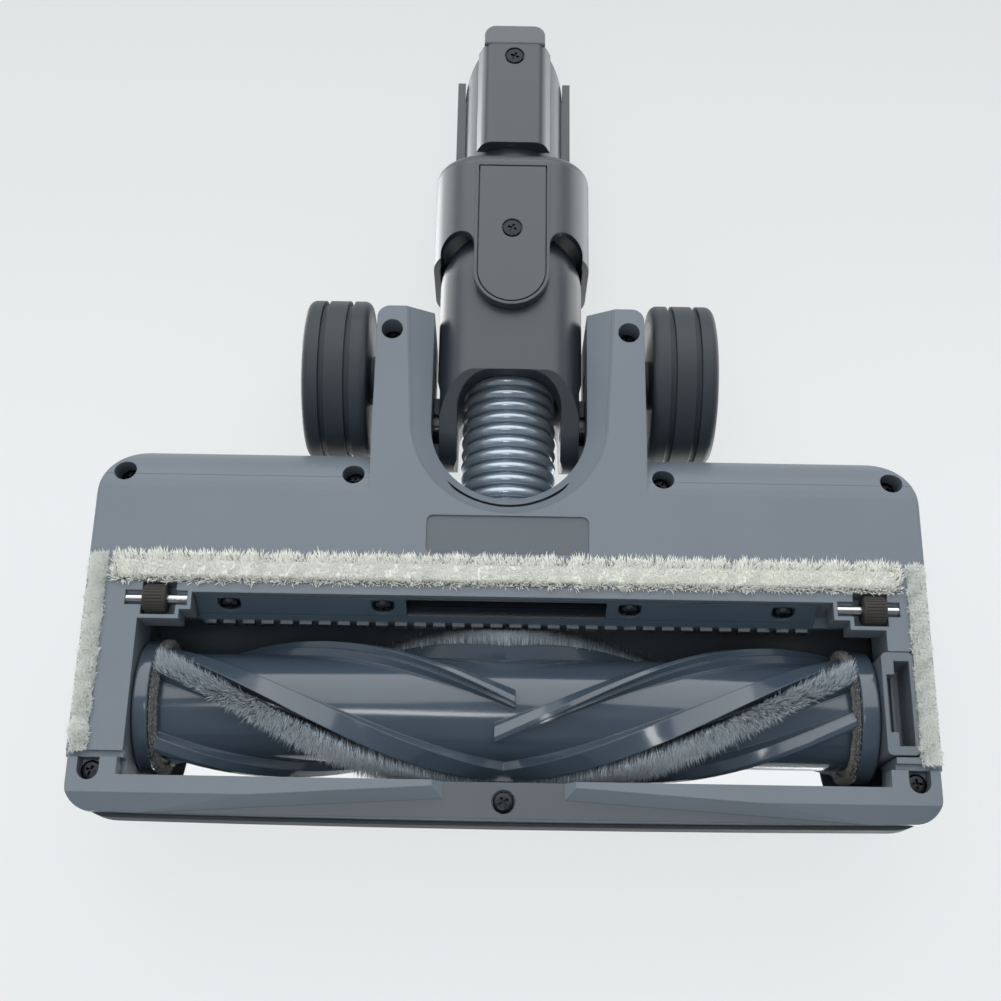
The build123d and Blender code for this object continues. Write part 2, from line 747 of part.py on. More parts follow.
# Suction plate: a leaning face with the slot, comb teeth along its top edge and screw pockets
with BuildPart() as suction_plate:
    with BuildSketch(side(-plate_half)):
        with BuildLine():
            back = window_back_y - seam
            top = parting_z - seam
            Polyline(
                (back, plate_base), (back, top), (back - plate_top_lean, top),
                (back - plate_top_lean, top - tooth_height), (back - seam, plate_base), close=True,
            )
        make_face()
    extrude(amount=2 * plate_half)
    tooth_count = int(2 * plate_half / tooth_pitch)
    with Locations((0, back - plate_top_lean - tooth_depth / 2, top - tooth_height / 2)):
        with GridLocations(tooth_pitch, 0, tooth_count, 1):
            Box(tooth_width, tooth_depth, tooth_height)
    front = back - plate_top_lean - tooth_depth
    block(-slot_half, slot_half, front, back, slot_base, slot_top, Mode.SUBTRACT)
    for x in plate_screws:
        rod_y(screw_hole, front, back - plate_seat, x, plate_screw_z, Mode.SUBTRACT)
        block(
            x - screw_hole, x + screw_hole, front, back - plate_seat, plate_base, plate_screw_z,
            Mode.SUBTRACT,
        )
        rod_y(shank_radius + running, front, back, x, plate_screw_z, Mode.SUBTRACT)
keep("suction_plate", suction_plate.part)

# Suction duct: a frame round the slot, then a flat mouth that rises to the round spigot of the hose
mouth_y = chamber_back_y + seam
spigot_y = roller_y + hose_start_reach - wall
mouth_z = (slot_base + slot_top) / 2
spigot_outer = hose_bore - running
with BuildPart() as suction_duct:
    frame_half = slot_half + duct_wall
    block(-frame_half, frame_half, window_back_y, mouth_y, slot_base + seam, parting_z - seam)
    block(-slot_half, slot_half, window_back_y, mouth_y, slot_base, slot_top, Mode.SUBTRACT)
    for inset, mode in ((0, Mode.ADD), (duct_wall, Mode.SUBTRACT)):
        with BuildSketch(across(mouth_y)):
            with Locations((0, mouth_z + duct_wall / 2)):
                RectangleRounded(
                    2 * (slot_half + duct_wall - inset), slot_height + duct_wall - 2 * inset, duct_wall
                )
        with BuildSketch(across(spigot_y)):
            with Locations((0, axis_z)):
                Circle(spigot_outer - inset)
        loft(mode=mode)
    rod_y(spigot_outer, spigot_y, spigot_y + spigot_length, 0, axis_z)
    rod_y(spigot_outer - duct_wall, spigot_y, spigot_y + spigot_length, 0, axis_z, Mode.SUBTRACT)
keep("suction_duct", suction_duct.part)

# Corrugated hose between the duct's spigot and the collar in the yoke
hose_start = roller_y + hose_start_reach
hose_end = roller_y + hose_end_reach
hose_valley = hose_radius - hose_ridge
ring_count = int((hose_end - hose_start) / hose_pitch)
hose_last = hose_start + ring_count * hose_pitch
with BuildPart() as flexible_hose:
    with BuildSketch(side(0)):
        with BuildLine():
            outline = []
            for ring in range(ring_count):
                y = hose_start + ring * hose_pitch
                outline.append((y, axis_z + hose_valley))
                outline.append((y + hose_flank * hose_pitch, axis_z + hose_radius))
                outline.append((y + (1 - hose_flank) * hose_pitch, axis_z + hose_radius))
            outline.append((hose_last, axis_z + hose_valley))
            outline.append((hose_last, axis_z + hose_bore))
            outline.append((hose_start, axis_z + hose_bore))
            Polyline(outline, close=True)
        make_face()
    revolve(axis=Axis((0, 0, axis_z), (0, 1, 0)))
keep("flexible_hose", flexible_hose.part)

# Drive: motor, its shaft and pulley, belt, driven pulley
with BuildPart() as drive_motor:
    rod_x(motor_radius, motor_x, motor_x + motor_length, motor_y, motor_z)
    fillet(drive_motor.edges().filter_by(GeomType.CIRCLE), motor_curve)
    rod_x(motor_boss_radius, motor_x + motor_length, motor_x + motor_length + wall, motor_y, motor_z)
    shaft_hole = motor_shaft_radius + running
    rod_x(shaft_hole, motor_x + motor_length / 2, belt_x, motor_y, motor_z, Mode.SUBTRACT)
keep("drive_motor", drive_motor.part)

with BuildPart() as motor_shaft:
    rod_x(motor_shaft_radius, motor_x + motor_length / 2 + wall, belt_x + belt_width, motor_y, motor_z)
keep("motor_shaft", motor_shaft.part)

with BuildPart() as motor_pulley:
    rod_x(motor_pulley_radius, belt_x, belt_x + belt_width, motor_y, motor_z)
    rod_x(motor_shaft_radius + seam / 2, belt_x, belt_x + belt_width, motor_y, motor_z, Mode.SUBTRACT)
keep("motor_pulley", motor_pulley.part)

with BuildPart() as driven_pulley:
    rod_x(driven_pulley_radius, belt_x, belt_x + belt_width, roller_y, roller_z)
    rod_x(roller_axle_radius + seam / 2, belt_x, belt_x + belt_width, roller_y, roller_z, Mode.SUBTRACT)
keep("driven_pulley", driven_pulley.part)


def belt_loop(grow, mode):
    """Outline round both pulleys, grown by an amount, pulled out to the belt's width."""
    with BuildSketch(side(belt_x)) as loop:
        with Locations((roller_y, roller_z)):
            Circle(driven_pulley_radius + grow)
        with Locations((motor_y, motor_z)):
            Circle(motor_pulley_radius + grow)
        make_hull()
    extrude(loop.sketch, amount=belt_width, mode=mode)


with BuildPart() as drive_belt:
    belt_loop(running + belt_thickness, Mode.ADD)
    belt_loop(running, Mode.SUBTRACT)
keep("drive_belt", drive_belt.part)

# Brush roller: tube with chevron ribs, a ramp and a fence beside each bristle strip and one between
axle_hole = roller_axle_radius + seam / 2


def twisted(profile, start, hand):
    """Sweeps a profile along the roller from x = start, turning it as it goes outwards."""
    length = tube_half - hand * start
    with BuildLine(mode=Mode.PRIVATE) as spine:
        Line((start, roller_y, roller_z), (hand * tube_half, roller_y, roller_z))
    with BuildLine(mode=Mode.PRIVATE) as guide:
        Helix(
            twist_pitch, length, bristle_radius, center=(start, roller_y, roller_z),
            direction=(hand, 0, 0), lefthand=hand < 0,
        )
    sweep(profile, path=spine.line, binormal=guide.line.edge())


def roller_plane(x, angle):
    """Plane across the roller at x whose first axis points out at an angle from +Y towards +Z."""
    turn = math.radians(angle)
    outwards = (0, math.cos(turn), math.sin(turn))
    return Plane(origin=(x, roller_y, roller_z), x_dir=outwards, z_dir=(1, 0, 0))


rib_root = tube_radius - wall / 2
rib_low = tube_radius + wall
with BuildPart() as brush_tube:
    rod_x(tube_radius, -tube_half, tube_half, roller_y, roller_z)
    for strip in (0, 180):
        for hand in (1, -1):
            plane = roller_plane(0, bristle_angle + strip + ramp_offset)
            with BuildSketch(plane, mode=Mode.PRIVATE) as ramp:
                with BuildLine():
                    half_rib = ramp_width / 2
                    Polyline(
                        (rib_root, -half_rib), (rib_radius, -half_rib), (rib_low, half_rib),
                        (rib_root, half_rib), close=True,
                    )
                make_face()
            twisted(ramp.sketch, 0, hand)
            plane = roller_plane(0, bristle_angle + strip + fence_offset)
            with BuildSketch(plane, mode=Mode.PRIVATE) as fence:
                with Locations(((rib_root + rib_radius) / 2, 0)):
                    Rectangle(rib_radius - rib_root, fence_width)
            twisted(fence.sketch, 0, hand)
    for angles in middle_rib_angles:
        for hand, angle in zip((1, -1), angles):
            start = -hand * stagger_overlap
            plane = roller_plane(start, angle - stagger_overlap * 360 / twist_pitch)
            with BuildSketch(plane, mode=Mode.PRIVATE) as rib:
                with BuildLine():
                    half_rib = middle_rib_width / 2
                    lip_end = middle_rib_lip - half_rib
                    crest_end = lip_end + middle_rib_ridge
                    Polyline(
                        (rib_root, -half_rib), (rib_low, -half_rib), (rib_low, lip_end),
                        (rib_radius, lip_end), (rib_radius, crest_end), (rib_low, half_rib),
                        (rib_root, half_rib), close=True,
                    )
                make_face()
            twisted(rib.sketch, start, hand)
    rod_x(axle_hole, -tube_half, tube_half, roller_y, roller_z, Mode.SUBTRACT)
keep("brush_tube", brush_tube.part)

for number, strip in ((1, 0), (2, 180)):
    with BuildPart() as bristle_strip:
        for hand in (1, -1):
            root = tube_radius + 2 * running
            with BuildSketch(roller_plane(0, bristle_angle + strip), mode=Mode.PRIVATE) as tuft:
                with Locations(((root + bristle_radius) / 2, 0)):
                    Rectangle(bristle_radius - root, bristle_width)
            twisted(tuft.sketch, 0, hand)
    keep(f"bristle_strip_{number}", bristle_strip.part)

cap_inner = tube_half + pile_ring_width
cap_ends = {"drive": drive_wall_x - cap_gap, "latch": block_face_x + cap_gap}
for name, end in cap_ends.items():
    sign = math.copysign(1, end)
    with BuildPart() as pile_ring:
        rod_x(pile_ring_radius, sign * tube_half, sign * cap_inner, roller_y, roller_z)
        rod_x(axle_hole, sign * tube_half, sign * cap_inner, roller_y, roller_z, Mode.SUBTRACT)
    keep(f"{name}_pile_ring", pile_ring.part)
    with BuildPart() as end_cap:
        rod_x(cap_radius, sign * cap_inner, end, roller_y, roller_z)
        fillet(end_cap.edges().filter_by(GeomType.CIRCLE), edge_round)
        rod_x(axle_hole, sign * cap_inner, end, roller_y, roller_z, Mode.SUBTRACT)
    keep(f"{name}_end_cap", end_cap.part)

bush_x = block_x - bush_length / 2
with BuildPart() as roller_axle:
    rod_x(roller_axle_radius, bush_x, belt_x + belt_width, roller_y, roller_z)
keep("roller_axle", roller_axle.part)

with BuildPart() as drive_bearing:
    rod_x(bearing_radius, drive_wall_x, belt_wall_x, roller_y, roller_z)
    rod_x(roller_axle_radius + running, drive_wall_x, belt_wall_x, roller_y, roller_z, Mode.SUBTRACT)
keep("drive_bearing", drive_bearing.part)

with BuildPart() as latch_bush:
    rod_x(bush_radius, bush_x, bush_x + bush_length, roller_y, roller_z)
    rod_x(axle_hole, bush_x, bush_x + bush_length, roller_y, roller_z, Mode.SUBTRACT)
keep("latch_bush", latch_bush.part)

# Release block: slides out downwards and leaves the bush of the roller free
block_low = sole_z - block_proud
finger_x = block_face_x - block_width + finger_wall
with BuildPart() as release_block:
    with BuildSketch(Plane.XY.offset(block_low)):
        with Locations((block_x, roller_y)):
            RectangleRounded(block_width, block_length, block_corner)
    extrude(amount=roller_z - block_low)
    rod_x(bush_radius + running, -head_width, head_width, roller_y, roller_z, Mode.SUBTRACT)
    with BuildSketch(Plane.XY.offset(block_low)):
        with Locations((finger_x + finger_width / 2, roller_y)):
            Rectangle(finger_width, finger_length)
        with Locations((finger_x + finger_wide_width / 2, roller_y)):
            Rectangle(finger_wide_width, finger_wide_length)
    extrude(amount=finger_depth, mode=Mode.SUBTRACT)
    grip_x = finger_x + finger_width / 2 - grip_width / 2
    grip_end = finger_length / 2
    grip_top = block_low + finger_depth
    block(
        grip_x, grip_x + grip_width, roller_y - grip_end, roller_y + grip_end,
        grip_top - grip_height, grip_top,
    )
keep("release_block", release_block.part)

# Wheels on their axles
for name, sign in (("drive", 1), ("latch", -1)):
    near = arm_outer + wheel_gap
    far = near + wheel_width
    spin = Axis((0, wheel_y, axis_z), (sign, 0, 0))
    rim_y = wheel_y + wheel_radius - tyre_depth
    with BuildPart() as wheel_tyre:
        with BuildSketch(Plane.XY.offset(axis_z)) as tread:
            with Locations((sign * (near + far) / 2, rim_y + tyre_depth / 2)):
                Rectangle(wheel_width, tyre_depth)
            fillet(tread.vertices().group_by(Axis.Y)[-1], tyre_curve)
            with Locations((sign * (near + far) / 2, rim_y + tyre_depth - groove_depth / 2)):
                with GridLocations(groove_spacing, 0, 2, 1):
                    Rectangle(groove_width, groove_depth, mode=Mode.SUBTRACT)
        revolve(axis=spin)
    keep(f"{name}_wheel_tyre", wheel_tyre.part)
    with BuildPart() as wheel_hub:
        rim_radius = wheel_radius - tyre_depth - seam / 2
        rod_x(rim_radius, sign * near, sign * far, wheel_y, axis_z)
        rod_x(rim_radius - wall, sign * (near + far) / 2, sign * far, wheel_y, axis_z, Mode.SUBTRACT)
        rod_x(hub_boss_radius, sign * (arm_outer + free), sign * (far - wall), wheel_y, axis_z)
        rod_x(wheel_axle_radius + running, 0, sign * head_width, wheel_y, axis_z, Mode.SUBTRACT)
    keep(f"{name}_wheel_hub", wheel_hub.part)
    with BuildPart() as wheel_axle:
        rod_x(wheel_axle_radius, sign * (opening_radius + wall), sign * far, wheel_y, axis_z)
        rod_x(axle_head_radius, sign * (far - wall + free), sign * far, wheel_y, axis_z)
    keep(f"{name}_wheel_axle", wheel_axle.part)

with BuildPart() as pivot_pins:
    for sign in (1, -1):
        rod_x(pin_radius, sign * (cutout_half + free), sign * (arm_outer - pin_depth), pivot_y, axis_z)
keep("pivot_pins", pivot_pins.part)

# Neck yoke: ears on the pivot pins, a shell round the hose, and a round end for the swing joint
yoke_low = axis_z - yoke_height / 2
half_yoke = yoke_width / 2
with BuildPart() as neck_yoke:
    with BuildSketch(across(pivot_y - ear_radius)):
        with Locations((0, axis_z)):
            RectangleRounded(yoke_width, yoke_height, yoke_corner)
    extrude(amount=swing_reach + ear_radius)
    with BuildSketch(Plane.XZ.offset(-swing_y)) as end_section:
        with Locations((0, axis_z)):
            RectangleRounded(yoke_width, yoke_height, yoke_corner)
        with Locations((-half_yoke, axis_z)):
            Rectangle(yoke_width, yoke_height, mode=Mode.SUBTRACT)
    revolve(axis=Axis((0, swing_y, 0), (0, 0, 1)), revolution_arc=360)
    with BuildSketch(side(-head_width)):
        with Locations((pivot_y, axis_z)):
            Circle(ear_radius)
        with Locations(((roller_y + cutout_reach + swing_y + half_yoke) / 2, axis_z)):
            Rectangle(swing_y + half_yoke - roller_y - cutout_reach, yoke_height)
        make_hull()
    extrude(amount=2 * head_width, mode=Mode.INTERSECT)
    rod_y(yoke_bore, pivot_y - ear_radius, swing_y + half_yoke, 0, axis_z, Mode.SUBTRACT)
    with BuildSketch(Plane.XY) as cutout:
        with Locations((0, roller_y + cutout_reach - ear_radius - swing_reach / 2)):
            Rectangle(2 * cutout_half, 2 * ear_radius + swing_reach)
        fillet(cutout.vertices().group_by(Axis.Y)[-1], cutout_corner)
    extrude(amount=tall, mode=Mode.SUBTRACT)
    for sign in (1, -1):
        rod_x(ear_radius + wall, sign * ear_face, sign * yoke_width, pivot_y, axis_z, Mode.SUBTRACT)
    rod_x(pin_radius + running, -head_width, head_width, pivot_y, axis_z, Mode.SUBTRACT)
    rod_z(pin_radius + running, 0, tall, 0, swing_y, Mode.SUBTRACT)
keep("neck_yoke", neck_yoke.part)

with BuildPart() as hose_collar:
    rod_y(yoke_bore - running, hose_end - 2 * wall, hose_end + wall, 0, axis_z)
    rod_y(hose_radius + running, hose_end - 2 * wall, hose_last + running, 0, axis_z, Mode.SUBTRACT)
    rod_y(hose_bore, hose_end - 2 * wall, hose_end + wall, 0, axis_z, Mode.SUBTRACT)
keep("hose_collar", hose_collar.part)

# Swivel sleeve: a shell over the yoke's round end, with a tongue above and below that carry the pins
half_sleeve = sleeve_size / 2
tongue_depth = half_sleeve - yoke_height / 2 - free
cavity_back = swing_y + half_yoke + free
with BuildPart() as swivel_sleeve:
    with BuildSketch(across(sleeve_y)):
        with Locations((0, axis_z)):
            RectangleRounded(sleeve_size, sleeve_size, sleeve_corner)
    extrude(amount=sleeve_length)
    fillet(swivel_sleeve.faces().sort_by(Axis.Y)[-1].edges(), 2 * wall)
    with BuildSketch(across(sleeve_y)):
        with Locations((0, axis_z)):
            RectangleRounded(yoke_width + 2 * free, yoke_height + 2 * free, yoke_corner + free)
    extrude(amount=cavity_back - sleeve_y, mode=Mode.SUBTRACT)
    with BuildSketch(Plane.XY):
        for sign in (1, -1):
            with Locations((sign * (tongue_half + half_yoke) / 2, sleeve_y)):
                notch_width = half_yoke - tongue_half
                RectangleRounded(notch_width, 2 * notch_depth, notch_width / 2 - seam)
    extrude(amount=tall, mode=Mode.SUBTRACT)
    for z in (axis_z - half_sleeve, axis_z + half_sleeve - tongue_depth):
        with BuildSketch(Plane.XY.offset(z)):
            with Locations((0, (swing_y + sleeve_back) / 2)):
                Rectangle(2 * tongue_half, sleeve_back - swing_y - 4 * wall)
            with Locations((0, (swing_y + sleeve_y) / 2)):
                Rectangle(2 * tongue_half, sleeve_y - swing_y)
            with Locations((0, swing_y)):
                Circle(tongue_half)
        extrude(amount=tongue_depth)
    for sign in (1, -1):
        pin_outer = axis_z + sign * (half_sleeve - wall)
        rod_z(pin_radius, pin_outer, axis_z + sign * (yoke_bore + running), 0, swing_y)
    rod_y(throat_bore, cavity_back, sleeve_back, 0, axis_z, Mode.SUBTRACT)
    rod_y(tube_outer + seam / 2, sleeve_back - tube_inset, sleeve_back, 0, axis_z, Mode.SUBTRACT)
    with BuildSketch(Plane.XY.offset(axis_z - half_sleeve)):
        with Locations((0, swing_y)):
            Circle(cover_half + free)
        with Locations((0, swing_y + (cover_length - cover_half) / 2)):
            Rectangle(2 * (cover_half + free), cover_length - cover_half)
    extrude(amount=cover_thickness + seam, mode=Mode.SUBTRACT)
    rod_z(shank_radius + running, 0, axis_z - yoke_bore, 0, cover_screw_y, Mode.SUBTRACT)
keep("swivel_sleeve", swivel_sleeve.part)

cover_seat = axis_z - half_sleeve + cover_thickness / 2
with BuildPart() as pivot_cover:
    with BuildSketch(Plane.XY.offset(axis_z - half_sleeve)):
        with Locations((0, swing_y)):
            Circle(cover_half)
        with Locations((0, swing_y + (cover_length - cover_half - free) / 2)):
            Rectangle(2 * cover_half, cover_length - cover_half - free)
    extrude(amount=cover_thickness)
    rod_z(screw_hole, 0, cover_seat, 0, cover_screw_y, Mode.SUBTRACT)
    rod_z(shank_radius + running, 0, axis_z, 0, cover_screw_y, Mode.SUBTRACT)
keep("pivot_cover", pivot_cover.part)

# Connector tube that the wand slides onto, with a rail each side and a rounded end
tube_front = sleeve_back - tube_inset
tube_back = tube_front + tube_length
hood_back = tube_back + tube_outer
with BuildPart() as connector_tube:
    rod_y(tube_outer, tube_front, hood_back, 0, axis_z)
    with BuildSketch(Plane.XY):
        with Locations((0, (tube_front + tube_back) / 2)):
            Rectangle(2 * tube_outer, tube_back - tube_front)
        with Locations((0, tube_back)):
            Circle(tube_outer)
    extrude(amount=tall, mode=Mode.INTERSECT)
    for sign in (1, -1):
        rail_out = sign * (tube_outer + rail_depth)
        rail_in = sign * (tube_bore + running)
        rail_low = axis_z - rail_height / 2
        rail_high = axis_z + rail_height / 2
        block(rail_in, rail_out, strip_y, tube_back, rail_low, rail_high)
        block(sign * tube_outer, rail_out, tube_back, strip_y + rail_length, rail_low, rail_high)
    rod_y(tube_bore, tube_front, tube_back, 0, axis_z, Mode.SUBTRACT)
    rod_y(hood_bore, tube_back, hood_back, 0, axis_z, Mode.SUBTRACT)
    block(-head_width, head_width, tube_back, hood_back, axis_z, tall, Mode.SUBTRACT)
    rod_z(shank_radius + running, 0, axis_z - tube_bore, 0, strip_screw_y, Mode.SUBTRACT)
keep("connector_tube", connector_tube.part)

# Wire cover along the tube's underside and the contact plug at its end
strip_low = axis_z - tube_outer - strip_thickness
with BuildPart() as wire_cover:
    with BuildSketch(across(strip_y)) as saddle:
        with Locations((0, axis_z)):
            Circle(tube_outer)
        with Locations((0, strip_low + strip_thickness / 2)):
            Rectangle(2 * strip_half, strip_thickness)
        make_hull()
        fillet(saddle.vertices().group_by(Axis.Y)[0], strip_curve)
        with Locations((0, axis_z)):
            Circle(tube_outer + seam / 2, mode=Mode.SUBTRACT)
        with Locations((0, axis_z)):
            Rectangle(4 * tube_outer, 2 * tube_bore, mode=Mode.SUBTRACT)
    extrude(amount=strip_length)
    rod_z(screw_hole, 0, strip_low + head_height / 2, 0, strip_screw_y, Mode.SUBTRACT)
    rod_z(shank_radius + running, 0, axis_z, 0, strip_screw_y, Mode.SUBTRACT)
keep("wire_cover", wire_cover.part)

contact_y = tip_y - contact_depth
contact_z = strip_low + contact_rise
with BuildPart() as contact_plug:
    block(-plug_half, plug_half, strip_end + seam, tip_y, strip_low + seam, axis_z - tube_bore - free)
    fillet(contact_plug.faces().sort_by(Axis.Y)[-1].edges().filter_by(Axis.Z), plug_corner)
    fillet(contact_plug.faces().sort_by(Axis.Z)[0].edges(), edge_round)
    rod_y(tube_outer + seam / 2, strip_end, hood_back, 0, axis_z, Mode.SUBTRACT)
    for x in (-contact_spacing, contact_spacing):
        rod_y(contact_radius + seam / 2, contact_y, tip_y, x, contact_z, Mode.SUBTRACT)
keep("contact_plug", contact_plug.part)

with BuildPart() as plug_contacts:
    for x in (-contact_spacing, contact_spacing):
        rod_y(contact_radius, contact_y, tip_y - wall / 2, x, contact_z)
keep("plug_contacts", plug_contacts.part)


# Screws
def screw_up(x, y, head_z, length):
    """Screw driven upwards, its head's seat at head_z."""
    rod_z(head_radius, head_z - head_height, head_z, x, y)
    rod_z(shank_radius, head_z, head_z + length, x, y)


with BuildPart() as base_screws:
    for x, y in rear_screws:
        screw_up(x, y, rear_head_z, parting_z - rear_head_z + thread_grip)
keep("base_screws", base_screws.part)

with BuildPart() as arm_screws_group:
    for x, y in arm_screws:
        screw_up(x, y, arm_head_z, arm_top - arm_corner - arm_head_z - wall)
keep("arm_screws", arm_screws_group.part)

with BuildPart() as front_screws:
    for x, y in corner_screws + [middle_screw]:
        screw_up(x, y, bar_head_z, parting_z - 2 * wall - bar_head_z)
keep("front_screws", front_screws.part)

with BuildPart() as plate_screws_group:
    for x in plate_screws:
        seat = window_back_y - seam - plate_seat
        rod_y(head_radius, seat - head_height, seat, x, plate_screw_z)
        rod_y(shank_radius, seat, chamber_back_y, x, plate_screw_z)
keep("plate_screws", plate_screws_group.part)

with BuildPart() as neck_screws:
    rod_z(head_radius, cover_seat - cover_thickness / 2, cover_seat, 0, cover_screw_y)
    rod_z(shank_radius, cover_seat, yoke_low - free, 0, cover_screw_y)
    strip_seat = strip_low + head_height / 2
    rod_z(head_radius, strip_low, strip_seat, 0, strip_screw_y)
    rod_z(shank_radius, strip_seat, axis_z - tube_bore - seam, 0, strip_screw_y)
keep("neck_screws", neck_screws.part)

for name, part in pieces.items():
    export_step(part, f"parts/{name}.step")
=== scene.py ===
# %% [markdown]
# # A powered floor brush head, seen from below
# This lesson dresses the CAD model of a vacuum cleaner's floor head. The head stands on the floor as
# it is used, and the camera looks up at its underside, where the brush roller, the wheels and the
# swivelling neck are. The CAD gives every rigid shape. What is soft or very fine, such as pile,
# bristles and cross-head screws, is modelled here.

# %% Load the fixed frame
import json
import math

import bmesh
import bpy
import numpy as np
from mathutils import Matrix, Vector


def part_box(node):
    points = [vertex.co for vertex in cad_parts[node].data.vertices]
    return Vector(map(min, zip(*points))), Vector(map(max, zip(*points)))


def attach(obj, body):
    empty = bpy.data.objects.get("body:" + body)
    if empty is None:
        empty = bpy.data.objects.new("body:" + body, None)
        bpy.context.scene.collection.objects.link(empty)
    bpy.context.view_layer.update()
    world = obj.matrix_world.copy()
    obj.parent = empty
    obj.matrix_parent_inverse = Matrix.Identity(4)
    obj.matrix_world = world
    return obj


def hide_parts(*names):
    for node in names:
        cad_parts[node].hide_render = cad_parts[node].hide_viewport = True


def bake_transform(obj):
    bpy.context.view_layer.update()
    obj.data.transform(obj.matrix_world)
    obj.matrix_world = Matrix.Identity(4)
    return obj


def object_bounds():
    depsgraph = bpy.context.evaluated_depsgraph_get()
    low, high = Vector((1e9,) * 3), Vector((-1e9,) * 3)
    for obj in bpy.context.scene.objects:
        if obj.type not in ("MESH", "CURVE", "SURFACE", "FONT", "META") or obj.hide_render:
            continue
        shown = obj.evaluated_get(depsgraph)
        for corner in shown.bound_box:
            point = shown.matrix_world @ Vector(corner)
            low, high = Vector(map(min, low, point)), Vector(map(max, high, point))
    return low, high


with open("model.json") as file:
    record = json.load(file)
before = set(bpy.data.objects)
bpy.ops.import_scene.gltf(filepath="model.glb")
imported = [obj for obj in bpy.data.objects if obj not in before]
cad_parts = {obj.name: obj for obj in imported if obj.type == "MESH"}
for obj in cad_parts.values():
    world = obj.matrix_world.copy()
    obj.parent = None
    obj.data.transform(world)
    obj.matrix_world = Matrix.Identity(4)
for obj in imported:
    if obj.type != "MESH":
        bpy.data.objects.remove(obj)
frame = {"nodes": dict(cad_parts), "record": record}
cad_low, cad_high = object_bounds()
nodes = frame["nodes"]
MM = 0.001
print("CAD nodes:", len(nodes), "size in mm:", [round(1000 * v) for v in cad_high - cad_low])

# %% [markdown]
# ## Camera
# The photograph was taken from above a head that lies upside down. In this frame the camera is under
# the floor, looks up at 70 degrees, and is rolled by about one degree. It could be aimed by a
# constraint, but its three axes are plain to work out, so they go straight into its matrix. Operators
# act on what is selected, and the CAD nodes arrive selected, so every new thing starts from an empty
# selection.

# %% Camera under the floor
CAMERA_TILT = math.radians(70.0)
CAMERA_ROLL = math.radians(0.98)
CAMERA_EYE = Vector((0.0023, -0.1857, -0.3962))
NEAREST_SEEN = 0.01
SENSOR_WIDTH = 36.0
FOCAL_PIXELS = 1400.0
IMAGE_PIXELS = 1001


def start_fresh():
    """Leaves edit mode and deselects everything."""
    if bpy.context.object and bpy.context.object.mode != "OBJECT":
        bpy.ops.object.mode_set(mode="OBJECT")
    bpy.ops.object.select_all(action="DESELECT")


look = Vector((0, math.cos(CAMERA_TILT), math.sin(CAMERA_TILT)))
level_right = Vector((-1, 0, 0))
level_up = Vector((0, math.sin(CAMERA_TILT), -math.cos(CAMERA_TILT)))
right = math.cos(CAMERA_ROLL) * level_right + math.sin(CAMERA_ROLL) * level_up
up = math.cos(CAMERA_ROLL) * level_up - math.sin(CAMERA_ROLL) * level_right
start_fresh()
bpy.ops.object.camera_add()
camera = bpy.context.object
camera.matrix_world = Matrix(
    (
        (right.x, up.x, -look.x, CAMERA_EYE.x),
        (right.y, up.y, -look.y, CAMERA_EYE.y),
        (right.z, up.z, -look.z, CAMERA_EYE.z),
        (0, 0, 0, 1),
    )
)
camera.data.sensor_width = SENSOR_WIDTH
camera.data.lens = FOCAL_PIXELS / IMAGE_PIXELS * SENSOR_WIDTH
camera.data.clip_start = NEAREST_SEEN
scene = bpy.context.scene
scene.camera = camera
print("lens", round(camera.data.lens, 2), "mm")

# %% [markdown]
# ## Node helpers
# The room and every finish are small networks of nodes. A few helpers add the nodes that come back
# again and again, and take either the output of another node or a plain value.


# %% Nodes that come back
def put(tree, value, socket):
    """Links another node's output to a socket, or sets the socket to a plain value."""
    if isinstance(value, bpy.types.NodeSocket):
        tree.links.new(value, socket)
    else:
        socket.default_value = value


def add_math(tree, operation, *values):
    """Math node of two or three values."""
    node = tree.nodes.new("ShaderNodeMath")
    node.operation = operation
    for value, socket in zip(values, node.inputs):
        put(tree, value, socket)
    return node.outputs[0]


def add_axis(tree, coords, axis):
    """One axis of some coordinates."""
    axes = tree.nodes.new("ShaderNodeSeparateXYZ")
    tree.links.new(coords, axes.inputs[0])
    return axes.outputs[axis]


def add_span(tree, value, start, end, low=0.0, high=1.0, smooth=False):
    """Maps a value from the span between start and end to the span between low and high."""
    span = tree.nodes.new("ShaderNodeMapRange")
    span.interpolation_type = "SMOOTHSTEP" if smooth else "LINEAR"
    span.inputs["From Min"].default_value = start
    span.inputs["From Max"].default_value = end
    span.inputs["To Min"].default_value = low
    span.inputs["To Max"].default_value = high
    tree.links.new(value, span.inputs["Value"])
    return span.outputs[0]


def add_ramp(tree, factor, low, high, start=0.3, end=0.7, between=()):
    """Colour ramp between two colours, with stops of a place and a colour between them."""
    ramp = tree.nodes.new("ShaderNodeValToRGB")
    stops = ramp.color_ramp.elements
    stops[0].position = start
    stops[0].color = (*low, 1)
    stops[1].position = end
    stops[1].color = (*high, 1)
    for place, colour in between:
        stops.new(place).color = (*colour, 1)
    tree.links.new(factor, ramp.inputs[0])
    return ramp.outputs[0]


def mix_tones(tree, share, first, second, blend="MIX"):
    """Colour that takes a share of a second tone into a first."""
    mix = tree.nodes.new("ShaderNodeMix")
    mix.data_type = "RGBA"
    mix.blend_type = blend
    put(tree, share, mix.inputs["Factor"])
    put(tree, first, mix.inputs["A"])
    put(tree, second, mix.inputs["B"])
    return mix.outputs["Result"]


def mix_shaders(tree, share, first, second):
    """Shader that takes a share of a second shader into a first."""
    mix = tree.nodes.new("ShaderNodeMixShader")
    put(tree, share, mix.inputs[0])
    tree.links.new(first, mix.inputs[1])
    tree.links.new(second, mix.inputs[2])
    return mix.outputs[0]


print("node helpers ready")

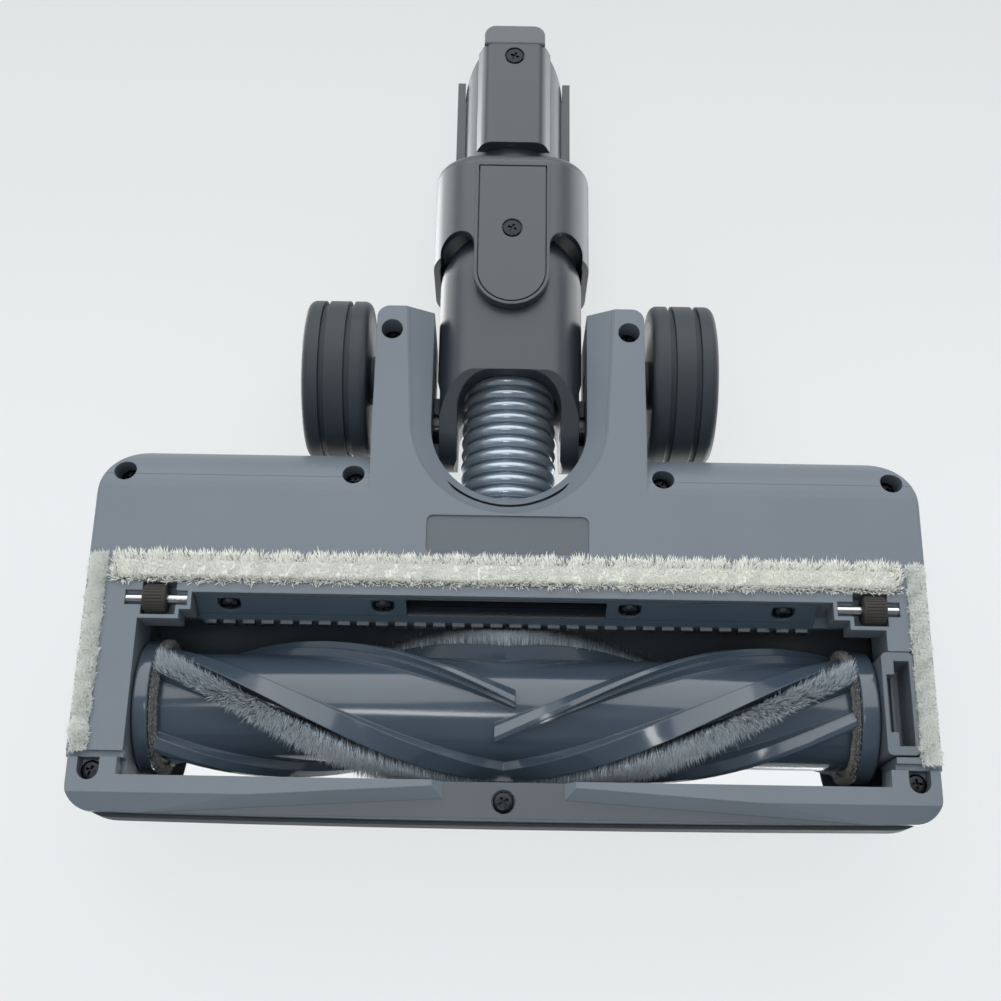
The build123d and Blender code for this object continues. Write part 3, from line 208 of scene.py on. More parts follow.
# %% [markdown]
# ## Studio: the room
# The room is bright behind the neck and above the head, and dimmer on the photographer's side, so faces
# that lean forwards are dark. A picture of a room could light the scene, but a colour ramp along one
# leaning axis does it and can be read here. One ramp lights the head. A second, with more contrast, is
# what the camera, glossy faces and clear plastic see.

# %% Room light
BRIGHT_WAY = (0.0, 0.5, 0.866)
LIGHT_DIM = (0.30, 0.32, 0.34)
LIGHT_BRIGHT = (0.86, 0.88, 0.89)
LIGHT_STRENGTH = 0.75
SEEN_DIM = (0.14, 0.15, 0.165)
SEEN_BRIGHT = (0.92, 0.94, 0.95)
SEEN_STRENGTH = 1.0


def add_background(tree, colour, strength):
    """Background shader of a room colour."""
    background = tree.nodes.new("ShaderNodeBackground")
    background.inputs["Strength"].default_value = strength
    tree.links.new(colour, background.inputs["Color"])
    return background.outputs[0]


def studio_room():
    """World that goes from dim, in front and below, to bright, behind and above."""
    room = bpy.data.worlds.new("studio")
    room.use_nodes = True
    tree = room.node_tree
    tree.nodes.clear()
    coords = tree.nodes.new("ShaderNodeTexCoord")
    facing = tree.nodes.new("ShaderNodeVectorMath")
    facing.operation = "DOT_PRODUCT"
    facing.inputs[1].default_value = BRIGHT_WAY
    tree.links.new(coords.outputs["Generated"], facing.inputs[0])
    way = add_span(tree, facing.outputs["Value"], -1.0, 1.0)
    light = add_ramp(tree, way, LIGHT_DIM, LIGHT_BRIGHT, start=0.05, end=0.62)
    view = add_ramp(tree, way, SEEN_DIM, SEEN_BRIGHT, start=0.0, end=0.55)
    path = tree.nodes.new("ShaderNodeLightPath")
    seen = add_math(tree, "MAXIMUM", path.outputs["Is Camera Ray"], path.outputs["Is Glossy Ray"])
    seen = add_math(tree, "MAXIMUM", seen, path.outputs["Is Transmission Ray"])
    lit_room = add_background(tree, light, LIGHT_STRENGTH)
    seen_room = add_background(tree, view, SEEN_STRENGTH)
    output = tree.nodes.new("ShaderNodeOutputWorld")
    tree.links.new(mix_shaders(tree, seen, lit_room, seen_room), output.inputs[0])
    return room


scene.view_settings.view_transform = "Standard"
scene.world = studio_room()
print("room:", scene.world.name)

# %% [markdown]
# ## Studio: floor and table
# The head stands on a floor that is seen only from above and lets light pass, so the underside is lit
# as in the photograph. A second pale sheet lies on top of the head, seen only from below: it stands for
# the white table. A plain white plane would hide the head from its other side, so each sheet is clear
# there. The table mostly glows, as a brightly lit table seems to, and keeps a faint shadow.

# %% Floor and table sheets
SHEET_SIZE = 4.0
# Painted shade: the sheets' tone is palest near the middle, a little darker in front and much darker at
# the back.
FRONT_TONE = (0.80, 0.82, 0.83)
MIDDLE_TONE = (0.815, 0.835, 0.845)
BACK_SHADE_TONE = (0.70, 0.725, 0.72)
TONE_REACH = 0.25
FLOOR_GLOW = 0.3
TABLE_GLOW = 0.85
TABLE_GAP = 0.3 * MM


def make_active(piece):
    """Selects one piece alone and makes it the active object."""
    start_fresh()
    piece.select_set(True)
    bpy.context.view_layer.objects.active = piece
    return piece


def name_new(name):
    """Names the object that an operator has just added."""
    piece = bpy.context.object
    piece.name = name
    piece.data.name = name
    return piece


def settle(piece):
    """Puts a piece's place, turn and size into its mesh."""
    make_active(piece)
    bpy.ops.object.transform_apply(location=True, rotation=True, scale=True)
    return piece


def sheet_finish(name, glow):
    """Pale finish, darker to the back as painted shade, that glows by a share and is clear to all but
    the camera on its front.
    """
    material = bpy.data.materials.new(name)
    material.use_nodes = True
    tree = material.node_tree
    tree.nodes.clear()
    coords = tree.nodes.new("ShaderNodeTexCoord")
    way_back = add_span(tree, add_axis(tree, coords.outputs["Object"], "Y"), -TONE_REACH, TONE_REACH)
    tones = add_ramp(tree, way_back, FRONT_TONE, BACK_SHADE_TONE, 0.0, 1.0, between=[(0.45, MIDDLE_TONE)])
    matt = tree.nodes.new("ShaderNodeBsdfDiffuse")
    glowing = tree.nodes.new("ShaderNodeEmission")
    for shader in (matt, glowing):
        tree.links.new(tones, shader.inputs["Color"])
    path = tree.nodes.new("ShaderNodeLightPath")
    geometry = tree.nodes.new("ShaderNodeNewGeometry")
    front = add_math(tree, "SUBTRACT", 1.0, geometry.outputs["Backfacing"])
    shown = add_math(tree, "MULTIPLY", front, path.outputs["Is Camera Ray"])
    surface = mix_shaders(tree, glow, matt.outputs[0], glowing.outputs[0])
    clear = tree.nodes.new("ShaderNodeBsdfTransparent")
    output = tree.nodes.new("ShaderNodeOutputMaterial")
    tree.links.new(mix_shaders(tree, shown, clear.outputs[0], surface), output.inputs[0])
    return material


def one_sided_sheet(name, height, facing_up, glow):
    """Stage sheet at a height that the camera sees only from the side that it faces."""
    start_fresh()
    bpy.ops.mesh.primitive_plane_add(size=SHEET_SIZE, location=(0, 0, height))
    sheet = name_new(name)
    if not facing_up:
        bpy.ops.object.mode_set(mode="EDIT")
        bpy.ops.mesh.flip_normals()
        bpy.ops.object.mode_set(mode="OBJECT")
    settle(sheet)
    sheet.data.materials.append(sheet_finish(name, glow))
    return sheet


floor = one_sided_sheet("floor", 0.0, True, FLOOR_GLOW)
table = one_sided_sheet("white_table", cad_high.z + TABLE_GAP, False, TABLE_GLOW)
print("stage:", floor.name, table.name)

# %% [markdown]
# ## Studio: lamps
# The underside's main light is a large soft box behind and below the head. Two soft boxes at the sides,
# behind the head and a little above it, give the dark neck its bright rims, and a small lamp near the
# camera gives glints. Two dim fills aren't mirrored, so that glossy faces keep their dark reflections.
# Two lamps above light the cover. Spot lamps would give hard shadows, which the photograph hasn't.

# %% Lamps
LAMP_AIM = Vector((0, -0.02, 0.03))


def soft_lamp(name, place, size, power, mirrored=True):
    """Soft box that is turned towards the head, sized in metres, that glossy faces may mirror."""
    start_fresh()
    bpy.ops.object.light_add(type="AREA", location=place)
    lamp = bpy.context.object
    lamp.name = name
    lamp.data.shape = "RECTANGLE"
    lamp.data.size, lamp.data.size_y = size
    lamp.data.energy = power
    lamp.rotation_mode = "QUATERNION"
    lamp.rotation_quaternion = (LAMP_AIM - Vector(place)).to_track_quat("-Z", "Y")
    lamp.visible_glossy = mirrored
    return lamp


lamps = [
    soft_lamp("below_front", (0.25, -0.75, -0.75), size=(0.9, 0.5), power=1.6, mirrored=False),
    soft_lamp("below_back", (0.1, 1.1, -1.5), size=(3.0, 2.4), power=36.0),
    soft_lamp("by_camera", (0.0, -0.35, -1.2), size=(0.8, 0.5), power=4.0, mirrored=False),
    soft_lamp("sparkle", (0.12, -0.3, -0.95), size=(0.3, 0.12), power=0.8),
    soft_lamp("drive_side", (1.3, 0.6, 0.45), size=(1.2, 1.6), power=11.0),
    soft_lamp("latch_side", (-1.3, 0.6, 0.45), size=(1.2, 1.6), power=10.0),
    soft_lamp("above_left", (-0.8, -0.5, 1.0), size=(0.9, 0.9), power=9.0),
    soft_lamp("above_right", (0.9, 0.5, 0.9), size=(0.7, 0.7), power=6.0),
]
print("lamps:", [lamp.name for lamp in lamps])

# %% [markdown]
# ## Darker places
# On the real head some places look darker than the plastic is: the floors of recesses, the brush
# chamber's wall, the comb and the axles inside the arms, because little light gets in. The studio's
# soft lamps leave them too pale, so a finish can darken its tone where a mask is on. Painting them by
# hand would need maps, so a mask compares Object coordinates with a place on the CAD nodes.

# %% Masks
SOLE_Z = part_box("base_housing")[0].z
LEVEL_SLACK = 0.05 * MM
axle_low, axle_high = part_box("roller_axle")
ROLLER_Y = (axle_low.y + axle_high.y) / 2
ROLLER_Z = (axle_low.z + axle_high.z) / 2


def at_level(height):
    """Mask of the flat floor of a recess, found by its height."""
    def mask(tree, coords):
        return add_math(tree, "COMPARE", add_axis(tree, coords, "Z"), height, LEVEL_SLACK)
    return mask


def behind(y):
    """Mask of what lies further back than a place along Y."""
    def mask(tree, coords):
        return add_math(tree, "GREATER_THAN", add_axis(tree, coords, "Y"), y)
    return mask


def ahead(y):
    """Mask of what lies further forward than a place along Y."""
    def mask(tree, coords):
        return add_math(tree, "LESS_THAN", add_axis(tree, coords, "Y"), y)
    return mask


def round_roller(radius):
    """Mask of what lies within a radius of the brush roller's axis."""
    def mask(tree, coords):
        shift = tree.nodes.new("ShaderNodeVectorMath")
        shift.operation = "SUBTRACT"
        shift.inputs[1].default_value = (0, ROLLER_Y, ROLLER_Z)
        tree.links.new(coords, shift.inputs[0])
        flat = tree.nodes.new("ShaderNodeVectorMath")
        flat.operation = "MULTIPLY"
        flat.inputs[1].default_value = (0, 1, 1)
        tree.links.new(shift.outputs[0], flat.inputs[0])
        reach = tree.nodes.new("ShaderNodeVectorMath")
        reach.operation = "LENGTH"
        tree.links.new(flat.outputs[0], reach.inputs[0])
        return add_math(tree, "LESS_THAN", reach.outputs["Value"], radius)
    return mask


print("sole at", round(SOLE_Z / MM, 2), "mm, roller axis at", round(ROLLER_Z / MM, 2), "mm")

# %% [markdown]
# ## Kinds of finish
# Nearly everything is moulded plastic in blue greys. A mould's spark-eroded skin gives it a fine grain,
# and the gloss differs a little from place to place. One flat colour would look like a drawing, so each
# kind of finish mixes two near tones and carries a fine bump and a gentle change of roughness. All of
# it reads Object coordinates, so it stays on the piece when the piece moves.


# %% Parts of a finish
def srgb(red, green, blue):
    """Colour given as seen on screen, from 0 to 255, as linear light."""
    return tuple(
        (v / 255 / 12.92) if v / 255 <= 0.04045 else ((v / 255 + 0.055) / 1.055) ** 2.4
        for v in (red, green, blue)
    )


def blank_material(name):
    """New material with its Principled shader and Object coordinates."""
    material = bpy.data.materials.new(name)
    material.use_nodes = True
    tree = material.node_tree
    shader = tree.nodes["Principled BSDF"]
    coords = tree.nodes.new("ShaderNodeTexCoord")
    return material, tree, shader, coords.outputs["Object"]


def add_noise(tree, coords, per_metre, detail=2.0):
    """Noise with about so many cells in a metre."""
    noise = tree.nodes.new("ShaderNodeTexNoise")
    noise.inputs["Scale"].default_value = per_metre
    noise.inputs["Detail"].default_value = detail
    tree.links.new(coords, noise.inputs["Vector"])
    return noise.outputs["Fac"]


def add_bump(tree, height, distance, normal=None):
    """Bump from a height value, with its real depth in metres, over another normal if one is given."""
    bump = tree.nodes.new("ShaderNodeBump")
    bump.inputs["Strength"].default_value = 1.0
    bump.inputs["Distance"].default_value = distance
    tree.links.new(height, bump.inputs["Height"])
    if normal is not None:
        tree.links.new(normal, bump.inputs["Normal"])
    return bump.outputs["Normal"]


def add_soft_edge(tree, radius):
    """Normal that rounds sharp edges by a radius."""
    bevel = tree.nodes.new("ShaderNodeBevel")
    bevel.samples = 4
    bevel.inputs["Radius"].default_value = radius
    return bevel.outputs[0]


def scaled(colour, share):
    """The same colour, lighter or darker."""
    return tuple(min(1.0, v * share) for v in colour)


def set_tones(tree, shader, coords, noise, dark_tone, pale_tone, dark=()):
    """Base colour between two tones by a noise, and darker by a share where each mask is on."""
    tone = add_ramp(tree, noise, dark_tone, pale_tone)
    for mask, share in dark:
        tone = mix_tones(tree, mask(tree, coords), tone, (share, share, share, 1), "MULTIPLY")
    tree.links.new(tone, shader.inputs["Base Color"])


def set_gloss(tree, shader, noise, smoothest, roughest):
    """Roughness between two values by a noise, which stays mostly in the middle of its range."""
    tree.links.new(add_span(tree, noise, 0.3, 0.7, smoothest, roughest), shader.inputs["Roughness"])


print("parts of a finish ready")


# %% Plastic, metal and rubber
def moulded(
    name, colour, roughness, grain=0.02 * MM, specular=0.5, soft_edge=0.4 * MM, metallic=0.0, dark=()
):
    """Moulded plastic: two near tones, fine grain, uneven gloss and slightly rounded edges."""
    material, tree, shader, coords = blank_material(name)
    cloud = add_noise(tree, coords, per_metre=28, detail=3.0)
    fine = add_noise(tree, coords, per_metre=2600)
    set_tones(tree, shader, coords, cloud, scaled(colour, 0.95), scaled(colour, 1.05), dark)
    set_gloss(tree, shader, cloud, roughness - 0.03, roughness + 0.03)
    normal = add_bump(tree, fine, grain, add_soft_edge(tree, soft_edge))
    tree.links.new(normal, shader.inputs["Normal"])
    shader.inputs["Specular IOR Level"].default_value = specular
    shader.inputs["Metallic"].default_value = metallic
    return material


def metal(name, colour, roughness, lines_per_metre=(40, 3000, 3000), dark=()):
    """Turned or drawn metal with fine lines, along X unless other counts are given."""
    material, tree, shader, coords = blank_material(name)
    stretch = tree.nodes.new("ShaderNodeMapping")
    stretch.inputs["Scale"].default_value = lines_per_metre
    tree.links.new(coords, stretch.inputs["Vector"])
    lines = add_noise(tree, stretch.outputs[0], per_metre=1.0)
    set_tones(tree, shader, coords, lines, scaled(colour, 0.85), colour, dark)
    set_gloss(tree, shader, lines, roughness - 0.05, roughness + 0.08)
    tree.links.new(add_bump(tree, lines, distance=0.004 * MM), shader.inputs["Normal"])
    shader.inputs["Metallic"].default_value = 1.0
    return material


def rubber(name, colour, roughness):
    """Matt rubber with a dusty bloom and a fine moulded texture."""
    material, tree, shader, coords = blank_material(name)
    bloom = add_noise(tree, coords, per_metre=60, detail=4.0)
    fine = add_noise(tree, coords, per_metre=1800)
    set_tones(tree, shader, coords, bloom, scaled(colour, 0.85), scaled(colour, 1.2))
    set_gloss(tree, shader, bloom, roughness - 0.06, roughness + 0.06)
    normal = add_bump(tree, fine, 0.03 * MM, add_soft_edge(tree, 0.5 * MM))
    tree.links.new(normal, shader.inputs["Normal"])
    shader.inputs["Specular IOR Level"].default_value = 0.4
    return material


def clear_plastic(name):
    """Clear polycarbonate, faintly wavy."""
    material, tree, shader, coords = blank_material(name)
    wave = add_noise(tree, coords, per_metre=25)
    set_tones(tree, shader, coords, wave, (0.93, 0.94, 0.95), (0.98, 0.98, 0.98))
    set_gloss(tree, shader, wave, 0.02, 0.06)
    tree.links.new(add_bump(tree, wave, distance=0.02 * MM), shader.inputs["Normal"])
    shader.inputs["Transmission Weight"].default_value = 1.0
    shader.inputs["IOR"].default_value = 1.1
    return material


print("kinds of finish ready")

# %% [markdown]
# ## Finishes of the hard pieces
# The housing is a mid blue grey, the neck and the wheels are darker, and the suction plate and the
# roller have more gloss than the other grey plastics. Every node could be given a colour by hand, but
# the record names a material slot for each node, and a finish for each slot keeps like pieces alike.

# %% Finishes on the CAD nodes
HOUSING = srgb(99, 108, 117)
LABEL_FLOOR_Z = SOLE_Z + 0.6 * MM
BAR_FLOOR_Z = SOLE_Z + 3.4 * MM
SLOT_TOP_Z = SOLE_Z + 11.0 * MM
CHAMBER_RADIUS = 26.6 * MM
CHAMBER_SLACK = 0.2 * MM
COMB_DEPTH = 1.15 * MM
COMB_BACK_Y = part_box("suction_plate")[0].y + COMB_DEPTH
ARMS_FRONT_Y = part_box("flexible_hose")[0].y
EVEN_GRAIN = (900, 900, 900)

label_shade = (at_level(LABEL_FLOOR_Z), 0.62)
bar_shade = (at_level(BAR_FLOOR_Z), 0.48)
slot_shade = (at_level(SLOT_TOP_Z), 0.15)
comb_shade = (ahead(COMB_BACK_Y), 0.4)
chamber_shade = (round_roller(CHAMBER_RADIUS + CHAMBER_SLACK), 0.4)
axle_shade = (behind(ARMS_FRONT_Y), 0.1)

finishes = {
    "housing_plastic": moulded("housing_plastic", HOUSING, 0.42, dark=[label_shade]),
    "cover_plastic": moulded("cover_plastic", srgb(98, 107, 116), 0.38, dark=[chamber_shade]),
    "bar_plastic": moulded("bar_plastic", HOUSING, 0.36, dark=[bar_shade]),
    "clear_window": clear_plastic("clear_window"),
    "bumper_rubber": rubber("bumper_rubber", srgb(50, 56, 60), 0.7),
    "small_roller_plastic": rubber("small_roller_plastic", srgb(52, 50, 48), 0.65),
    "axle_steel": metal("axle_steel", srgb(205, 208, 212), 0.22, dark=[axle_shade]),
    "plate_plastic": moulded(
        "plate_plastic", srgb(69, 83, 95), 0.16, grain=0.006 * MM, dark=[slot_shade, comb_shade]
    ),
    "duct_plastic": moulded("duct_plastic", srgb(14, 17, 20), 0.7, specular=0.15),
    "motor_steel": metal("motor_steel", srgb(150, 152, 156), 0.35),
    "pulley_plastic": moulded("pulley_plastic", srgb(46, 48, 52), 0.45),
    "belt_rubber": rubber("belt_rubber", srgb(28, 28, 30), 0.75),
    "roller_plastic": moulded(
        "roller_plastic", srgb(60, 72, 84), 0.13, grain=0.003 * MM, specular=0.75, soft_edge=0.5 * MM
    ),
    "release_plastic": moulded("release_plastic", srgb(90, 98, 106), 0.4),
    "wheel_rubber": rubber("wheel_rubber", srgb(40, 48, 53), 0.5),
    "wheel_plastic": moulded("wheel_plastic", srgb(52, 58, 64), 0.4),
    "yoke_plastic": moulded("yoke_plastic", srgb(34, 41, 48), 0.36, specular=0.75),
    "sleeve_plastic": moulded("sleeve_plastic", srgb(46, 54, 61), 0.36, specular=0.75),
    "tube_plastic": moulded("tube_plastic", srgb(42, 50, 56), 0.32, specular=0.75),
    "plug_plastic": moulded("plug_plastic", srgb(90, 96, 101), 0.4),
    "contact_brass": metal("contact_brass", srgb(212, 178, 110), 0.3),
    "screw_steel": metal("screw_steel", srgb(52, 54, 58), 0.28, EVEN_GRAIN),
}
for entry in frame["record"]["subparts"]:
    if entry["material_slot"] in finishes:
        for holder in nodes[entry["node"]].material_slots:
            holder.material = finishes[entry["material_slot"]]
print("finishes:", len(finishes))

# %% [markdown]
# ## Screws
# Every screw is a small pan head with a cross recess. A texture could fake the cross, but the heads
# catch light in the photograph, so the recess is cut for real. One screw is modelled from a cylinder:
# its rim is rounded with Bevel, two tapered bars are cut out of it with Boolean, and a shank is joined
# on. Each place then gets a copy of its own, turned a little differently, as driven screws are.


# %% Helpers for edited meshes
def pick_faces(piece, test):
    """Enters edit mode and selects the faces whose centre and normal pass a test."""
    bpy.ops.object.mode_set(mode="EDIT")
    bpy.ops.mesh.select_mode(type="FACE")
    bpy.ops.mesh.select_all(action="DESELECT")
    mesh = bmesh.from_edit_mesh(piece.data)
    for face in mesh.faces:
        if test(face.calc_center_median(), face.normal):
            face.select_set(True)
    bmesh.update_edit_mesh(piece.data)


def shade_smooth(degrees):
    """Leaves edit mode and shades the active piece smooth, but for edges sharper than an angle."""
    bpy.ops.object.mode_set(mode="OBJECT")
    bpy.ops.object.shade_smooth_by_angle(angle=math.radians(degrees))


def apply_modifiers(piece):
    """Applies each modifier of a piece in order."""
    make_active(piece)
    for modifier in list(piece.modifiers):
        bpy.ops.object.modifier_apply(modifier=modifier.name)
    return piece


def join_pieces(pieces, name):
    """Joins several pieces into one mesh."""
    make_active(pieces[0])
    for piece in pieces:
        piece.select_set(True)
    if len(pieces) > 1:
        bpy.ops.object.join()
    return name_new(name)


def copy_piece(piece, matrix):
    """Copies a piece with a mesh of its own, moved by a matrix."""
    twin = piece.copy()
    twin.data = piece.data.copy()
    twin.data.transform(matrix)
    scene.collection.objects.link(twin)
    return twin


def drop(piece):
    """Deletes a piece that is no longer needed."""
    bpy.data.objects.remove(piece, do_unlink=True)


print("mesh helpers ready")

# %% One screw with a cross recess
HEAD_RADIUS = 3.0 * MM
HEAD_ROUNDING = 0.4
CROSS_LENGTH = 3.7 * MM
CROSS_WIDTH = 0.95 * MM
CROSS_DEPTH = 2.6 * MM
DEEPEST_CROSS = 1.3
CROSS_TAPER = 0.62
SHANK_RADIUS = 1.5 * MM
POINT_INSET = 0.5 * MM
POINT_TAPER = 0.4
FLAT_ENOUGH = 0.9


def faces_up(centre, normal):
    """Whether a face looks up."""
    return normal.z > FLAT_ENOUGH


def faces_down(centre, normal):
    """Whether a face looks down."""
    return normal.z < -FLAT_ENOUGH


def cut_cross_bar(screw, head_height, turn):
    """Cuts one tapered bar of the cross recess out of a screw's head."""
    start_fresh()
    bpy.ops.mesh.primitive_cube_add(size=1, location=(0, 0, -head_height), rotation=(0, 0, turn))
    bar = name_new("cross_bar")
    bar.scale = (CROSS_LENGTH, CROSS_WIDTH, min(CROSS_DEPTH, DEEPEST_CROSS * head_height))
    settle(bar)
    pick_faces(bar, faces_up)
    bpy.ops.transform.resize(value=(CROSS_TAPER, CROSS_TAPER, 1.0), center_override=(0, 0, 0))
    bpy.ops.object.mode_set(mode="OBJECT")
    cut = make_active(screw).modifiers.new("cross", "BOOLEAN")
    cut.operation = "DIFFERENCE"
    cut.object = bar
    apply_modifiers(screw)
    drop(bar)


def cross_head_screw(head_height, length):
    """Screw that points up, with its seat at z = 0 and its head below."""
    start_fresh()
    bpy.ops.mesh.primitive_cylinder_add(
        vertices=32, radius=HEAD_RADIUS, depth=head_height, location=(0, 0, -head_height / 2)
    )
    screw = settle(name_new("screw_pattern"))
    pick_faces(screw, faces_down)
    bpy.ops.mesh.bevel(offset=HEAD_ROUNDING * head_height, segments=3, affect="EDGES")
    bpy.ops.object.mode_set(mode="OBJECT")
    for turn in (0, math.pi / 2):
        cut_cross_bar(screw, head_height, turn)
    start_fresh()
    bpy.ops.mesh.primitive_cylinder_add(
        vertices=16, radius=SHANK_RADIUS, depth=length, location=(0, 0, length / 2)
    )
    shank = settle(name_new("shank"))
    pick_faces(shank, faces_up)
    bpy.ops.mesh.inset(thickness=POINT_INSET)
    bpy.ops.transform.resize(value=(POINT_TAPER, POINT_TAPER, 1.0), center_override=(0, 0, length))
    bpy.ops.object.mode_set(mode="OBJECT")
    whole = join_pieces([screw, shank], "screw_pattern")
    shade_smooth(35)
    return whole


print("screw head", HEAD_RADIUS * 2 / MM, "mm across")

# %% Sets of screws
FIRST_TURN = 0.4
NEXT_TURN = 1.1


def screw_set(places, length, head_height):
    """One copy of a screw at each place, each turned a little differently."""
    pattern = cross_head_screw(head_height, length)
    copies = []
    for number, place in enumerate(places):
        turn = Matrix.Rotation(FIRST_TURN + NEXT_TURN * number, 4, "Z")
        copies.append(copy_piece(pattern, place @ turn))
    drop(pattern)
    return copies


def finish_screws(node, copies, body):
    """Joins screws into one piece that stands for a CAD node, and says how many there are."""
    print(node, len(copies), "screws")
    piece = join_pieces(copies, f"{node}_cross_heads")
    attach(piece, body)
    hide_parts(node)
    piece.data.materials.clear()
    piece.data.materials.append(finishes["screw_steel"])
    return piece


print("each screw turned on by", NEXT_TURN, "radians")

# %% [markdown]
# ## Places of the screws
# Most screws are driven up into the housing from below, and only the suction plate's four lie back. The
# places could be read off the CAD solids one by one, but a short table of how far each is from the
# middle and from the roller's axis says how the head is put together.

# %% Screws at their places
HEAD_HEIGHT = 2.0 * MM
COVER_HEAD_HEIGHT = 0.8 * MM
COVER_SHANK = 2.2 * MM
STRIP_HEAD_HEIGHT = 1.0 * MM
PLATE_SCREW_OFFSETS = (37, 83)
# Millimetres from the middle, and back from the roller's axis
UPRIGHT_SCREWS = {
    "base_screws": [(117.2, 68.5), (47.4, 68.5), (-117.2, 68.5), (-47.4, 68.5)],
    "arm_screws": [(37.6, 117.7), (-37.6, 117.7)],
    "front_screws": [(118.0, -22.5), (-118.0, -22.5), (0.0, -29.5)],
}

for node, row in UPRIGHT_SCREWS.items():
    low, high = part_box(node)
    seat = low.z + HEAD_HEIGHT
    places = [Matrix.Translation((x * MM, ROLLER_Y + y * MM, seat)) for x, y in row]
    finish_screws(node, screw_set(places, high.z - seat, HEAD_HEIGHT), "head")

low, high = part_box("plate_screws")
seat = low.y + HEAD_HEIGHT
plate_z = (low.z + high.z) / 2
lie_back = Matrix.Rotation(-math.pi / 2, 4, "X")
places = [
    Matrix.Translation((sign * x * MM, seat, plate_z)) @ lie_back
    for sign in (1, -1)
    for x in PLATE_SCREW_OFFSETS
]
finish_screws("plate_screws", screw_set(places, high.y - seat, HEAD_HEIGHT), "head")

low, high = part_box("neck_screws")
cover_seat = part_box("pivot_cover")[0].z + COVER_HEAD_HEIGHT
strip_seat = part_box("wire_cover")[0].z + STRIP_HEAD_HEIGHT
cover_place = Matrix.Translation((0, low.y + HEAD_RADIUS, cover_seat))
strip_place = Matrix.Translation((0, high.y - HEAD_RADIUS, strip_seat))
neck_copies = screw_set([cover_place], COVER_SHANK, COVER_HEAD_HEIGHT)
neck_copies += screw_set([strip_place], high.z - strip_seat, STRIP_HEAD_HEIGHT)
finish_screws("neck_screws", neck_copies, "upper_neck")

# %% [markdown]
# ## Corrugated hose
# The hose that carries the air through the neck is blow-moulded in one piece, with round rings about
# 4 mm apart. A bump could draw the rings, but the hose's outline shows them. One ring is a torus on a
# short stretch of inner wall, and an Array repeats it.

# %% Hose
RING_PITCH = 4.2 * MM
RING_ROUND = 1.75 * MM
RING_STRETCH = 1.02
HOSE_WALL_INSET = 2.3 * MM
HOSE_WALL = 0.6 * MM
HOSE_SIDES = 56


def corrugated_hose():
    """Rings and inner wall of the hose, along Y."""
    low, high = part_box("flexible_hose")
    outer = (high.x - low.x) / 2
    first = (0, low.y + RING_PITCH / 2, (high.z + low.z) / 2)
    along_y = (math.pi / 2, 0, 0)
    start_fresh()
    bpy.ops.mesh.primitive_torus_add(
        major_radius=outer - RING_ROUND, minor_radius=RING_ROUND, major_segments=HOSE_SIDES,
        minor_segments=12, location=first, rotation=along_y,
    )
    ring = name_new("hose_ring")
    ring.scale.z = RING_STRETCH
    settle(ring)
    start_fresh()
    bpy.ops.mesh.primitive_cylinder_add(
        vertices=HOSE_SIDES, radius=outer - HOSE_WALL_INSET, depth=RING_PITCH, end_fill_type="NOTHING",
        location=first, rotation=along_y,
    )
    wall = settle(name_new("hose_wall"))
    shell = wall.modifiers.new("wall", "SOLIDIFY")
    shell.thickness = HOSE_WALL
    shell.offset = -1.0
    apply_modifiers(wall)
    rings = join_pieces([ring, wall], "flexible_hose_rings")
    row = rings.modifiers.new("rings", "ARRAY")
    row.count = round((high.y - low.y) / RING_PITCH)
    row.use_relative_offset = False
    row.use_constant_offset = True
    row.constant_offset_displace = (0, RING_PITCH, 0)
    apply_modifiers(rings)
    shade_smooth(50)
    return rings


hose = corrugated_hose()
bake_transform(hose)
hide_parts("flexible_hose")
finishes["hose_plastic"] = moulded(
    "hose_plastic", srgb(158, 170, 181), 0.25, grain=0.003 * MM, soft_edge=0.3 * MM, metallic=0.75
)
hose.data.materials.append(finishes["hose_plastic"])
print("hose rings:", len(hose.data.polygons), "faces")

# %% [markdown]
# ## Small floor rollers
# The two little rollers that keep the sole off hard floors have fine ridges along their tread. A bump
# would leave the rim smooth, so the ridges are made from a many-sided cylinder: every other face of the
# tread is pushed outwards, and the end faces are bridged so that the axle has its hole.

# %% Ridged floor rollers
TREAD_SIDES = 56
RIDGE_HEIGHT = 0.2 * MM
TREAD_ROUNDING = 0.7 * MM
FLOOR_BORE_RADIUS = 1.7 * MM


def faces_sideways(centre, normal):
    """Whether a face looks along X."""
    return abs(normal.x) > FLAT_ENOUGH


def ridged_roller(node):
    """Ridged tread on a bored roller, along X, in the place of a CAD node."""
    low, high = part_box(node)
    radius = (high.z - low.z) / 2
    middle = (low + high) / 2
    start_fresh()
    bpy.ops.mesh.primitive_cylinder_add(
        vertices=TREAD_SIDES, radius=radius - RIDGE_HEIGHT, depth=high.x - low.x, end_fill_type="NGON",
        location=middle, rotation=(0, math.pi / 2, 0),
    )
    roller = settle(name_new(f"{node}_tread"))
    pick_faces(roller, faces_sideways)
    bpy.ops.mesh.bevel(offset=TREAD_ROUNDING, segments=2, affect="EDGES")
    step = 2 * math.pi / TREAD_SIDES

    def every_other(centre, normal):
        angle = math.atan2(centre.z - middle.z, centre.y - middle.y)
        return abs(normal.x) < 0.1 and round(angle / step - 0.5) % 2 == 0

    def end_caps(centre, normal):
        return (centre - middle).yz.length < 1 * MM

    pick_faces(roller, every_other)
    bpy.ops.mesh.extrude_region_shrink_fatten(TRANSFORM_OT_shrink_fatten={"value": RIDGE_HEIGHT})
    pick_faces(roller, end_caps)
    bpy.ops.mesh.inset(thickness=radius - RIDGE_HEIGHT - TREAD_ROUNDING - FLOOR_BORE_RADIUS)
    bpy.ops.mesh.bridge_edge_loops()
    shade_smooth(25)
    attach(roller, node.replace("floor", "small"))
    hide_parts(node)
    roller.data.materials.append(finishes["small_roller_plastic"])
    return roller


